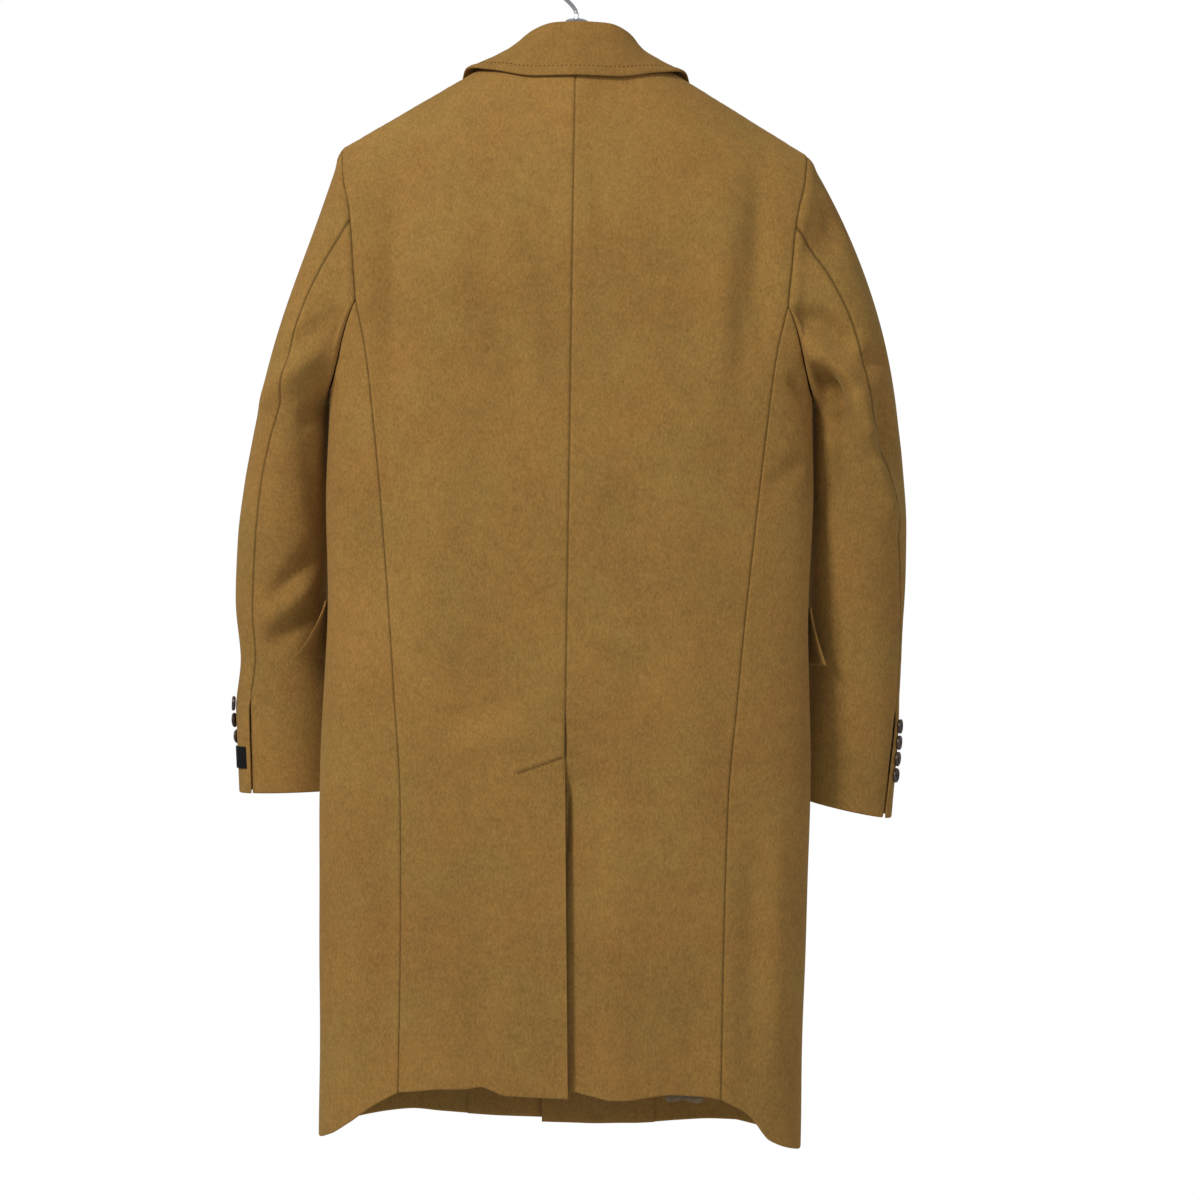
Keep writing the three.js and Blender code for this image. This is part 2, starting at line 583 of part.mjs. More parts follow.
// The middle of the collar's cloth: up the stand, over the roll and down the fall
function collarSection(at) {
  const value = (column) => along(COLLAR, column, Math.abs(at), "at");
  const neck = neckPoint(Math.abs(at));
  const roll = new THREE.Vector3(value("rollX"), value("rollY"), -HOOK_DROP - value("rollDrop"));
  const edge = new THREE.Vector3(value("edgeX"), value("edgeY"), -HOOK_DROP - value("edgeDrop"));
  const outward = new THREE.Vector3(edge.x - roll.x, edge.y - roll.y, 0).normalize();
  const base = neck.clone().addScaledVector(outward, -lerp(STAND_GAP[0], STAND_GAP[1], smooth(Math.abs(at) - 4)));
  base.z += STAND_RISE;
  const radius = COLLAR_ROLL_RADIUS;
  const bulge = new THREE.Vector3(0, 0, 1).lerp(bodySlope(roll).normalize(), smooth((Math.abs(at) - 4) / 2));
  bulge.normalize();
  const centre = roll.clone().addScaledVector(bulge, -radius);
  const onRoll = (turn) =>
    centre
      .clone()
      .addScaledVector(outward, -radius * Math.cos(turn))
      .addScaledVector(bulge, radius * Math.sin(turn));
  const section = [base, base.clone().lerp(onRoll(0), 0.5)];
  [0, 0.25, 0.5, 0.75].forEach((part) => section.push(onRoll(Math.PI * part)));
  FALL_SHARES.forEach((share) => {
    const point = onRoll(Math.PI).lerp(edge, share);
    const tent = share < GORGE_SHARE ? share / GORGE_SHARE : (1 - share) / (1 - GORGE_SHARE);
    point.z -= value("gorge") * tent;
    section.push(clearOfBody(point, CLOTH / 2 + FALL_GAP[share > 0 ? 1 : 0]));
  });
  section.forEach((point) => {
    point.x *= at < 0 ? -1 : 1;
    point.x -= COLLAR_LEAN * Math.max(point.z + HOOK_DROP - LEAN_START, 0);
  });
  return section;
}

function addCollar() {
  const reach = COLLAR[COLLAR.length - 1].at;
  const middle = shareList(COLLAR_SEGMENTS, -reach, reach).map(collarSection);
  const normals = gridNormals(middle, false);
  const move = (distance) =>
    middle.map((line, r) => line.map((point, c) => point.clone().addScaledVector(normals[r][c], distance)));
  addMesh("collar", wallGeometry(move(CLOTH / 2), move(-CLOTH / 2)), COLOURS.wool);
}

// The armhole, as angle and drop of each point, from the elbow seam over the shoulder and round
function armholeLoop(side) {
  const edgePlace = (piece, row) => {
    const drop = rowDrop(side, piece, 1, row);
    return { angle: pieceEdges(side, piece, drop)[1], drop };
  };
  const loop = [];
  for (let row = ELBOW_ROW; row >= 0; row -= 1) loop.push(edgePlace("back", row));
  for (let row = 1; row <= UPPER_ROWS; row += 1) loop.push(edgePlace("front", row));
  for (let column = SIDE_COLUMNS - 1; column >= 1; column -= 1) {
    const share = column / SIDE_COLUMNS;
    const drop = rowDrop(side, "side", share, UPPER_ROWS);
    const edges = pieceEdges(side, "side", drop);
    loop.push({ angle: lerp(edges[0], edges[1], share), drop });
  }
  for (let row = UPPER_ROWS; row > ELBOW_ROW; row -= 1) loop.push(edgePlace("back", row));
  return loop;
}

// Angle round the sleeve of each column at a drop: 0 behind, 90 outside, 270 at the body
function aroundSleeve(side, column, drop) {
  const elbow = along(SLEEVES[sideName(side)].sections, "elbow", drop);
  const upper = 2 * ELBOW_ROW;
  const total = 2 * UPPER_ROWS + SIDE_COLUMNS;
  if (column <= upper) return lerp(elbow, FOREARM_SEAM, column / upper);
  return lerp(FOREARM_SEAM, 360 + elbow, (column - upper) / (total - upper));
}

// Point of a sleeve below its cap, on the left side
function sleevePoint(side, around, drop) {
  const { sections } = SLEEVES[sideName(side)];
  const value = (column) => along(sections, column, drop);
  const across = value("across") * Math.sin(radians(around));
  const deep = value("deep") * Math.cos(radians(around));
  const turn = radians(value("turn"));
  return new THREE.Vector3(
    value("x") + across * Math.cos(turn) + deep * Math.sin(turn),
    value("y") - across * Math.sin(turn) + deep * Math.cos(turn),
    -HOOK_DROP - drop,
  );
}

function sleeveRelief(side, around, drop) {
  return SLEEVE_FOLDS.filter((fold) => fold.side === side)
    .map((fold) => {
      const wrapped = ((around - fold.around + 540) % 360) - 180;
      const sideways = radians(wrapped) * SLEEVE_RADIUS;
      const down = drop - fold.drop;
      const turn = radians(fold.turn);
      const length = down * Math.cos(turn) - sideways * Math.sin(turn);
      const width = down * Math.sin(turn) + sideways * Math.cos(turn);
      return fold.rise * Math.exp(-((length / fold.length) ** 2) - (width / fold.width) ** 2);
    })
    .reduce((sum, rise) => sum + rise, 0);
}

// Point of a sleeve's cap: a cubic from the armhole to the first section below the cap
function capPoint(side, start, around, part) {
  const { sections, crown } = SLEEVES[sideName(side)];
  const capDrop = sections[0].drop;
  const end = sleevePoint(side, around, capDrop);
  const length = end.distanceTo(start);
  const top = Math.max(Math.sin(radians(around)), 0);
  const leave = end.clone().sub(start).normalize();
  leave.x += lerp(UNDERARM_SPREAD, crown, top);
  const arrive = sleevePoint(side, around, capDrop + ARRIVE_STEP).sub(end).setLength(length);
  return new THREE.Vector3()
    .addScaledVector(start, (1 + 2 * part) * (1 - part) ** 2)
    .addScaledVector(leave, length * part * (1 - part) ** 2)
    .addScaledVector(end, part ** 2 * (3 - 2 * part))
    .addScaledVector(arrive, -(part ** 2) * (1 - part));
}

// Outer and inner rings of a sleeve, from the armhole to the cuff
function sleeveRings(side) {
  const { sections, cuffOut, cuffIn } = SLEEVES[sideName(side)];
  const capDrop = sections[0].drop;
  const loop = armholeLoop(side).map(({ angle, drop }) => leftwardPoint(side, angle, drop, 0));
  const arounds = [];
  const rings = shareList(CAP_ROWS + ARM_ROWS, 0, CAP_ROWS + ARM_ROWS).map((row) => {
    const part = Math.max(row - CAP_ROWS, 0) / ARM_ROWS;
    const around = loop.map((_, column) => aroundSleeve(side, column, lerp(capDrop, cuffOut, part)));
    arounds.push(around);
    return loop.map(({ point }, column) => {
      if (row <= CAP_ROWS) return capPoint(side, point, around[column], row / CAP_ROWS);
      const cuff = lerp(cuffIn, cuffOut, 0.5 + 0.5 * Math.sin(radians(around[column])));
      return sleevePoint(side, around[column], lerp(capDrop, cuff, part));
    });
  });
  const plain = gridNormals(rings, true);
  const outer = rings.map((ring, row) =>
    ring.map((point, column) => {
      const rise = row === 0 ? 0 : sleeveRelief(side, arounds[row][column], -HOOK_DROP - point.z);
      return point.clone().addScaledVector(plain[row][column], rise);
    }),
  );
  const normals = gridNormals(outer, true);
  loop.forEach(({ normal }, column) => {
    const bend = normals[0][column].x - normal.x;
    normals[0][column].lerp(normal, smooth((bend + 0.15) / 0.3)).normalize();
    const step = outer[1][column].clone().sub(outer[0][column]).setLength(4 * HALF_SEAM);
    outer[0][column].add(step);
  });
  const inner = outer.map((ring, row) =>
    ring.map((point, column) => point.clone().addScaledVector(normals[row][column], -CLOTH)),
  );
  [...outer, ...inner].forEach((ring) => ring.forEach((point) => (point.x *= side)));
  return { outer, inner };
}

function addSleeve(side) {
  const name = sideName(side);
  const { outer, inner } = sleeveRings(side);
  const count = outer[0].length;
  const cut = (rings, from, to) =>
    rings.map((ring) => rowList(from, to).map((column) => ring[column % count].clone()));
  [["upper_sleeve_", 0, 2 * ELBOW_ROW], ["under_sleeve_", 2 * ELBOW_ROW, count]].forEach(([piece, from, to]) => {
    const grids = [cut(outer, from, to), cut(inner, from, to)];
    pullBack(...grids, ["first", "last"]);
    addMesh(piece + name, wallGeometry(...grids), COLOURS.sleeve);
  });
}

// Pocket flap: hangs from its top edge on the side body and the front, and lifts at its rear end
function addPocketFlap(side) {
  const name = sideName(side);
  const places = [
    ...shareList(SIDE_COLUMNS).slice(3).map((share) => ({ piece: "side", share })),
    ...shareList(PANEL_COLUMNS).slice(5, PANEL_COLUMNS).reverse().map((share) => ({ piece: "front", share })),
  ];
  const grid = (level) =>
    shareList(4).map((part) =>
      places.map(({ piece, share }, column) => {
        const drop = FLAP.drop + FLAP.height * part;
        const edges = pieceEdges(side, piece, drop);
        const flare = FLAP_FLARE[name] * Math.exp(-column / FLAP.decay) * part ** 1.3;
        const out = FLAP.gap + flare + FLAP.ease * part + level;
        return clothPoint(side, lerp(edges[0], edges[1], share), drop, out).point;
      }),
    );
  addMesh("pocket_flap_" + name, wallGeometry(grid(CLOTH), grid(0)), COLOURS.wool);
}

// Dished button with a rim, its back at the origin and its face along +Z
function buttonGeometry({ radius, thickness, segments }) {
  const profile = [
    [0, 0],
    [radius * 0.8, 0],
    [radius, thickness * 0.45],
    [radius * 0.92, thickness],
    [radius * 0.74, thickness],
    [radius * 0.62, thickness * 0.7],
    [0, thickness * 0.7],
  ].map(([x, y]) => new THREE.Vector2(x, y));
  return new THREE.LatheGeometry(profile, segments).rotateX(Math.PI / 2);
}

// Places a button on a point of the cloth, with its face along the normal
function placeButton(mesh, point, normal) {
  mesh.quaternion.setFromUnitVectors(new THREE.Vector3(0, 0, 1), normal);
  mesh.position.copy(point).addScaledVector(normal, LAYER_GAP);
}

function addFrontButtons() {
  BUTTON_DROPS.forEach((drop, i) => {
    const { point, normal } = clothPoint(1, Math.PI, drop, 0);
    const name = "front_button_" + (i + 1);
    placeButton(addMesh(name, buttonGeometry(FRONT_BUTTON), COLOURS.button, 0.35), point, normal);
  });
}

// Point and outward normal of the finished sleeve, away from its folds
function sleevePlace(side, around, drop) {
  const point = sleevePoint(side, around, drop);
  const across = sleevePoint(side, around + 1, drop).sub(point);
  const down = sleevePoint(side, around, drop + 1).sub(point);
  const normal = across.cross(down).normalize();
  point.x *= side;
  normal.x *= side;
  return { point, normal };
}

function addCuffButtons(side) {
  const { first, pitch, around, drift } = CUFF_BUTTONS[sideName(side)];
  for (let i = 0; i < 4; i += 1) {
    const { point, normal } = sleevePlace(side, around + drift * i, first + pitch * i);
    const name = "cuff_button_" + sideName(side) + "_" + (i + 1);
    placeButton(addMesh(name, buttonGeometry(CUFF_BUTTON), COLOURS.button, 0.35), point, normal);
  }
}

// Bare label on the left cuff
function addSleeveLabel() {
  const grid = (out) =>
    shareList(2, LABEL.top, LABEL.bottom).map((drop) =>
      shareList(5, LABEL.from, LABEL.to).map((around) => {
        const { point, normal } = sleevePlace(1, around, drop);
        return point.addScaledVector(normal, out);
      }),
    );
  addMesh("sleeve_label", wallGeometry(grid(LABEL.outer), grid(LABEL.inner)), COLOURS.label, 0.8);
}

// Hanger: a shaped bar under the shoulders, a ferrule and a wire hook
const barTop = (x) =>
  SHOULDER_SLOPE * Math.hypot(x, BAR_BEND) - SHOULDER_RISE + CLOTH / Math.cos(Math.atan(SHOULDER_SLOPE)) + BAR_GAP;

function addHangerBar() {
  const rings = shareList(BAR_SECTIONS, -BAR_REACH, BAR_REACH).map((x) => {
    const endness = Math.abs(x) / BAR_REACH;
    const thick = lerp(BAR_THICK[0], BAR_THICK[1], smooth(endness));
    const tall = lerp(BAR_TALL[0], BAR_TALL[1], smooth(endness)) * Math.min(1, 0.6 + 8 * (1 - endness));
    const centreZ = -HOOK_DROP - barTop(x) - tall;
    return Array.from({ length: BAR_SIDES }, (_, i) => {
      const turn = (2 * Math.PI * i) / BAR_SIDES;
      return new THREE.Vector3(x, thick * Math.sin(turn), centreZ + tall * Math.cos(turn));
    });
  });
  const corners = [];
  const cap = (ring, flip) =>
    ring.slice(1, -1).forEach((point, i) => {
      const fan = [ring[0], point, ring[i + 2]];
      corners.push(...(flip ? fan.reverse() : fan));
    });
  rings.slice(1).forEach((ring, i) => {
    ring.forEach((_, c) => {
      const next = (c + 1) % BAR_SIDES;
      corners.push(rings[i][c], ring[c], ring[next], rings[i][c], ring[next], rings[i][next]);
    });
  });
  cap(rings[0], false);
  cap(rings[rings.length - 1], true);
  addMesh("hanger_bar", geometryFrom(corners), COLOURS.wood, 0.5);
}

function addFerrule() {
  const base = -HOOK_DROP - barTop(0) + 0.35;
  const bore = HOOK_WIRE + FERRULE_BORE;
  const profile = [
    [bore, base],
    [FERRULE_RADIUS, base],
    [FERRULE_RADIUS * 0.92, lerp(base, FERRULE_TOP, 0.6)],
    [FERRULE_RADIUS * 0.6, lerp(base, FERRULE_TOP, 0.9)],
    [bore, FERRULE_TOP],
    [bore, base],
  ].map(([x, y]) => new THREE.Vector2(x, y));
  addMesh("hanger_ferrule", new THREE.LatheGeometry(profile, 20).rotateX(Math.PI / 2), COLOURS.metal, 0.3, 0.9);
}

// Hook: a wire that rises from the ferrule, swings out and over, and ends past the crown
function addHook() {
  const radius = HOOK_INNER + HOOK_WIRE;
  const onCircle = (degrees) =>
    new THREE.Vector3(radius * Math.cos(radians(degrees)), 0, -HOOK_INNER + radius * Math.sin(radians(degrees)));
  const path = new THREE.CurvePath();
  const shankFoot = new THREE.Vector3(0, 0, -HOOK_DROP - barTop(0) + FERRULE_BORE + 0.35);
  const shankTop = new THREE.Vector3(0, 0, FERRULE_TOP + 4);
  path.add(new THREE.LineCurve3(shankFoot, shankTop));
  const leave = onCircle(HOOK_START);
  const heading = new THREE.Vector3(-Math.sin(radians(HOOK_START)), 0, Math.cos(radians(HOOK_START)));
  path.add(
    new THREE.CubicBezierCurve3(
      shankTop,
      shankTop.clone().add(new THREE.Vector3(0, 0, 9)),
      leave.clone().addScaledVector(heading, -9),
      leave,
    ),
  );
  class Arc extends THREE.Curve {
    getPoint(t) {
      return onCircle(lerp(HOOK_START, HOOK_END, t));
    }
  }
  path.add(new Arc());
  const section = new THREE.Shape(
    Array.from({ length: 8 }, (_, i) =>
      new THREE.Vector2(HOOK_WIRE * Math.cos((Math.PI * i) / 4), HOOK_WIRE * Math.sin((Math.PI * i) / 4))),
  );
  addMesh(
    "hanger_hook",
    new THREE.ExtrudeGeometry(section, { extrudePath: path, steps: HOOK_STEPS, bevelEnabled: false }),
    COLOURS.metal, 0.25, 0.95,
  );
}

[1, -1].forEach((side) => {
  addPanels(side);
  addFacing(side);
  addLapel(side);
  addSleeve(side);
  addPocketFlap(side);
  addCuffButtons(side);
});
addLiningStrip();
addCollar();
addFrontButtons();
addSleeveLabel();
addHangerBar();
addFerrule();
addHook();

export default coat;
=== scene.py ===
"""Wool overcoat on a hanger, seen from behind: cloth pieces, buttons, sewing, hanger and stage.

Lengths in the tables are millimetres. A drop is a height measured downwards from a reference line
at the collar seam, as in the coat's solids. Meshes are made in metres.
"""

import bpy
import numpy as np
from mathutils import Matrix


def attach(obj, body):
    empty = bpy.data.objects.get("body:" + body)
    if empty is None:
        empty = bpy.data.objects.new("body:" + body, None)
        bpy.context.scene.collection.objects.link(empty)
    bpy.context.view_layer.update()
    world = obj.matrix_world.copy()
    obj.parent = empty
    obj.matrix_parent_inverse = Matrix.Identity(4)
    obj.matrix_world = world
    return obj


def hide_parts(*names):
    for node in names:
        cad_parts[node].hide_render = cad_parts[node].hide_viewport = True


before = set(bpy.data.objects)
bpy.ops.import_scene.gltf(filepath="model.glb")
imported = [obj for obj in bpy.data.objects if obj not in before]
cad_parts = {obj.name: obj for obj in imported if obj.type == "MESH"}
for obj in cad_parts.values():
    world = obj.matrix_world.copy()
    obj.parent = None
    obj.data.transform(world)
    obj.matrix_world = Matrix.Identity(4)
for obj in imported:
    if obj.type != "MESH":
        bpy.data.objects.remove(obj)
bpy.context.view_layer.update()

bl_info = {
    "name": "Wool overcoat on a hanger",
    "version": (1, 0, 0),
    "blender": (4, 5, 0),
    "location": "3D View > Sidebar > Overcoat",
    "description": "Makes the overcoat's cloth, buttons, sewing, hanger and stage",
    "category": "Object",
}

MM = 0.001
HOOK_DROP = 100.0
LAYER_GAP = 0.6
SHOULDER_TIP = 232.0
SHOULDER_SLOPE = 0.6
SHOULDER_RISE = 46.0
ROUNDING_CENTRE = 250.0
ROUNDING_TIP = 170.0
RING_POWER = 2.5
NECK_HALF = 75.0
NECK_BACK_DROP = -5.0
NECK_POINT_DROP = -1.0
UNDERARM_DROP = 250.0
SIDE_SCOOP = 84.0
FRONT_OVERLAP = 20.0
BREAK_DROP = 370.0
FRONT_INSET = 7.0
VENT_DROP = 690.0
VENT_LAP = 45.0
VENT_LEAN = 8.0
HEM_LEVEL = 1020.0
HEM_TURN = 45.0
COLLAR_STITCH_IN = 10.5
COLLAR_STITCH_PITCH = 4.4
VENT_STITCH = ((1.6, 693.7), (46.9, 709.9))
CLOTH = 2.4
FACING_CLOTH = 1.8
RIDGE_ROW = 12.3
UPPER_ROWS = 9
LOWER_ROWS = 14
SIDE_COLUMNS = 6
ELBOW_ROW = 6


def table(columns, rows):
    """A table as one array for each named column."""
    return dict(zip(columns.split(), np.array(rows, float).T))


# Level sections of the body: half-width, depth of the back and depth of the front
BODY = table("drop half back front", [
    (100, 300, 64, 70), (150, 298, 64, 71), (200, 290, 65, 72), (250, 276, 65, 72),
    (283, 258, 65, 72), (310, 246, 65, 72), (334, 241, 65, 72), (440, 243, 64, 71),
    (560, 240, 64, 72), (700, 245, 67, 74), (820, 244, 71, 75), (960, 241, 74, 76),
    (1100, 240, 75, 77),
])

# Distance of the armhole and of the two side seams from the centre
ARMHOLE = table("drop back front", [
    (96, 232, 232), (128, 228, 223), (153, 222, 214), (180, 218, 208), (210, 215.5, 205), (250, 212, 206),
])
SIDE_SEAM = table("drop back front", [
    (250, 212, 206), (300, 202, 200), (376, 193, 194), (459, 184, 190), (540, 176, 188),
    (633, 168, 186), (735, 160, 184), (840, 158, 182), (1100, 157, 180),
])

# Hem: the back's drop by distance from the centre, the side body's and the front's by share of width
HEM = {
    1: {
        "back": table("x drop", [
            (0, 1022.5), (36, 1021.7), (54, 1021), (66, 1017), (77, 1014), (92, 1016), (115, 1016.5),
            (135, 1019), (157, 1021.5),
        ]),
        "side": table("share drop", [
            (0, 1021.5), (0.1, 1038), (0.2, 1055.5), (0.33, 1070), (0.5, 1077), (0.7, 1076), (0.85, 1071),
            (1, 1067),
        ]),
        "front": table("share drop", [(0, 1075.5), (0.3, 1073.5), (0.6, 1069), (0.8, 1065.5), (1, 1067)]),
    },
    -1: {
        "back": table("x drop", [
            (0, 1015), (10, 1016), (28, 1019.8), (50, 1023.4), (66, 1023.3), (82, 1021.3), (105, 1019),
            (128, 1020.7), (144, 1022), (157, 1024.5),
        ]),
        "side": table("share drop", [
            (0, 1024.5), (0.1, 1040), (0.2, 1067), (0.33, 1077), (0.5, 1082), (0.7, 1081), (0.85, 1076),
            (1, 1070.5),
        ]),
        "front": table("share drop", [(0, 1078), (0.3, 1079.5), (0.6, 1074.5), (0.8, 1071.5), (1, 1070.5)]),
    },
}

# Drape of the body: soft upright troughs and ridges. The first seven are the solids' own.
DRAPES = table("side x lean top bottom width rise", [
    (1, 181, 0, 60, 560, 15, -5), (1, 112, 0.04, 150, 900, 30, 2.5),
    (-1, 192, -0.1, 60, 380, 16, -5.5), (-1, 120, 0.03, 180, 980, 32, 2.5),
    (1, 78, 0, 760, 1180, 20, -5), (-1, 130, 0, 740, 1180, 24, -5), (-1, 55, 0, 800, 1180, 24, 4),
])

# Smaller folds of the body, from one place to another: behind is 1 on the back and 0 on the front
BODY_FOLDS = table("side behind x drop toX toDrop width rise", [
    (1, 1, 174, 100, 171, 350, 12, -4.5), (1, 1, 98, 190, 45, 360, 15, -4),
    (1, 1, 71, 140, 30, 320, 14, 3), (1, 1, 66, 44, 14, 54, 14, -7),
    (-1, 1, 8, 46, 62, 40, 11, -5), (1, 1, 24, 135, 16, 190, 9, -2.5),
    (1, 1, 122, 661, 34, 638, 14, -2.5), (1, 1, 112, 688, 26, 668, 11, 2.5),
    (1, 1, 172, 760, 168, 990, 12, -3.5), (1, 1, 205, 700, 200, 960, 14, 2.5),
    (1, 1, 140, 420, 120, 640, 26, 2), (-1, 1, 180, 95, 190, 300, 12, -4),
    (-1, 1, 18, 115, 34, 200, 10, -2.5), (-1, 1, 143, 130, 150, 330, 16, 2.5),
    (-1, 1, 216, 318, 234, 340, 7, -4), (-1, 1, 196, 426, 232, 397, 8, -3.5),
    (-1, 1, 187, 780, 184, 1010, 12, -4), (-1, 1, 210, 760, 208, 1000, 12, 3),
    (-1, 1, 90, 420, 120, 700, 28, 2.5), (1, 0, 150, 320, 165, 620, 20, -4),
    (1, 0, 128, 640, 118, 980, 22, -4), (1, 0, 178, 180, 172, 330, 13, -4),
    (-1, 0, 156, 300, 140, 600, 20, -4), (-1, 0, 110, 660, 122, 990, 22, -4),
    (-1, 0, 180, 190, 170, 350, 13, -4),
])

# Level sections of the sleeves below the cap: centre, half-sizes, turn, and the elbow seam's place
SLEEVES = {
    1: {
        "crown": 0.02, "cuff_out": 741, "cuff_in": 738,
        "sections": table("drop x y across deep turn elbow", [
            (350, 278.5, -24, 35.5, 62, 0, 10), (385, 282.8, -30, 39.2, 59, -2, 24),
            (430, 287.2, -37, 43.6, 54, -4, 33), (485, 291, -43, 46.6, 49, -7, 37),
            (545, 293, -50, 47, 43, -10, 41), (600, 290, -55, 45, 38, -13, 46),
            (660, 284, -57, 55, 35, -16, 54), (745, 278.5, -56, 56, 32, -20, 58),
        ]),
    },
    -1: {
        "crown": 0.28, "cuff_out": 757, "cuff_in": 737,
        "sections": table("drop x y across deep turn elbow", [
            (350, 286, -22, 42.5, 62, 0, 12), (400, 290, -29, 46, 58, -2, 28),
            (465, 293, -37, 49, 52, -4, 52), (515, 293.5, -43, 49.2, 48, -6, 62),
            (575, 293, -49, 48, 43, -8, 74), (630, 291.5, -52, 48.2, 41, -10, 76),
            (690, 287, -54, 51.2, 39, -12, 70), (760, 282.5, -52, 50.5, 37, -14, 66),
        ]),
    },
}
UNDERARM_SPREAD = 0.35
FOREARM_SEAM = 215.0
SLEEVE_RADIUS = 50.0
SLEEVE_VENT_DROP = 635.0

# Folds of the sleeves, from one place to another, with places round the sleeve in degrees
SLEEVE_FOLDS = table("side around drop toAround toDrop width rise", [
    (1, -34, 266, 34, 322, 13, -3), (1, -40, 300, 56, 352, 16, 6), (1, -66, 352, -22, 368, 9, -7),
    (1, -64, 266, -64, 322, 9, 5),
    (1, -40, 400, -44, 470, 12, -4), (1, -54, 486, 12, 546, 12, -8), (1, -34, 528, 34, 574, 12, 5),
    (1, -44, 556, 24, 592, 12, -6), (1, 125, 515, 175, 565, 15, -6), (1, 120, 300, 165, 340, 13, -5),
    (-1, 66, 152, 12, 204, 13, -7), (-1, -26, 252, 2, 290, 14, -11), (-1, -42, 282, -8, 324, 13, 13),
    (-1, -8, 324, 12, 387, 13, 13), (-1, 12, 387, 42, 464, 14, 10), (-1, -40, 310, -40, 372, 15, -17),
    (-1, -44, 362, -42, 440, 14, -8), (-1, 10, 302, 60, 294, 11, -8), (-1, 38, 334, 32, 392, 12, -10),
    (-1, 125, 405, 175, 455, 15, -6), (-1, 120, 290, 165, 330, 13, -5),
])

# Half of the collar, from the centre back to its front end: roll line, free edge and gorge
COLLAR = table("at rollX rollY rollDrop edgeX edgeY edgeDrop gorge", [
    (0, 0, 29, -30, 0, 45, 28, 0), (1, 26, 26.5, -29, 42, 41, 26.5, 0), (2, 44, 19, -24, 80, 24, 20.5, 0),
    (3, 57, 8, -15, 103, 7, 20.5, 0), (4, 63, -6, -9, 113, -12, 26, 0), (5, 66, -24, 6, 121, -24, 40, 5),
    (6, 66, -38, 24, 126, -32, 52, 16), (7, 62, -46, 44, 126, -38, 61, 27),
])
NECK_POINT_AT = 3.8
COLLAR_LEAN = 0.2
LEAN_START = 4.0
COLLAR_ROLL_RADIUS = 2.3
GORGE_SHARE = 0.62
LAPEL_GORGE_DROP = 53.0
LAPEL_TIP = (148.0, 101.0)
LAPEL_BULGE = 16.0

BUTTON_DROPS = (385.0, 505.0, 625.0)
CUFF_BUTTONS = {1: (651.0, 17.0, 92.0, 11.0), -1: (664.0, 16.5, 84.0, -1.0)}
FRONT_BUTTON = (14.0, 4.5)
CUFF_BUTTON = (7.5, 3.6)
FLAP_DROP = 545.0
FLAP_HEIGHT = 58.0
FLAP_FLARE = {1: 26.0, -1: 14.0}
SIDE_NAME = {1: "left", -1: "right"}


def lerp(a, b, t):
    return a + (b - a) * t


def smooth(t):
    """Cubic ease from 0 to 1."""
    t = np.clip(t, 0, 1)
    return t * t * (3 - 2 * t)


def signed_power(value, power):
    return np.sign(value) * np.abs(value) ** power


def along(source, column, at, key="drop"):
    """Value of a table's column between its rows: a cubic whose slope at a row is the harmonic mean
    of the rises on both sides, so it never overshoots."""
    places, values = source[key], source[column]
    rises = np.diff(values) / np.diff(places)
    slopes = np.empty_like(values)
    slopes[0], slopes[-1] = rises[0], rises[-1]
    product = rises[:-1] * rises[1:]
    total = np.where(product > 0, rises[:-1] + rises[1:], 1)
    slopes[1:-1] = np.where(product > 0, 2 * product / total, 0)
    at = np.clip(at, places[0], places[-1])
    i = np.clip(np.searchsorted(places, at, side="left") - 1, 0, len(places) - 2)
    span = places[i + 1] - places[i]
    t = (at - places[i]) / span
    return (
        values[i] * (1 + 2 * t) * (1 - t) ** 2
        + slopes[i] * span * t * (1 - t) ** 2
        + values[i + 1] * t ** 2 * (3 - 2 * t)
        - slopes[i + 1] * span * t ** 2 * (1 - t)
    )


def unit(vectors):
    return vectors / np.maximum(np.linalg.norm(vectors, axis=-1, keepdims=True), 1e-9)


# The body's surface

def ridge_drop(x):
    return SHOULDER_SLOPE * np.abs(x) - SHOULDER_RISE


def neck_drop(x):
    return lerp(NECK_BACK_DROP, NECK_POINT_DROP, (x / NECK_HALF) ** 2)


def roll_x(drop):
    """The lapel's roll line: straight from the neck point to the break, then the front edge."""
    part = (drop - NECK_POINT_DROP) / (BREAK_DROP - NECK_POINT_DROP)
    return np.maximum(lerp(NECK_HALF, -FRONT_OVERLAP, part), -FRONT_OVERLAP)


def rounding(x, drop):
    """Square of how far the cloth stands out below the shoulder ridge, as a quarter circle."""
    height = lerp(ROUNDING_CENTRE, ROUNDING_TIP, np.minimum(np.abs(x) / SHOULDER_TIP, 1))
    part = np.minimum((drop - ridge_drop(x)) / height, 1)
    return 1 - (1 - part) ** 2


def angle_at(x, drop, behind):
    turn = np.arcsin(signed_power(np.clip(x / along(BODY, "half", drop), -1, 1), RING_POWER / 2))
    return turn if behind else np.pi - turn


def depth_at(behind, drop):
    return np.where(behind, along(BODY, "back", drop), along(BODY, "front", drop))


def base_points(angle, drop):
    """Superellipse of power 2.5 at each drop, drawn in under the shoulder ridge."""
    x = along(BODY, "half", drop) * signed_power(np.sin(angle), 2 / RING_POWER)
    out = np.sqrt(np.maximum(rounding(x, drop), 0))
    y = depth_at(np.cos(angle) > 0, drop) * signed_power(np.cos(angle), 2 / RING_POWER) * out
    return np.stack(np.broadcast_arrays(x, y, -HOOK_DROP - drop), -1)


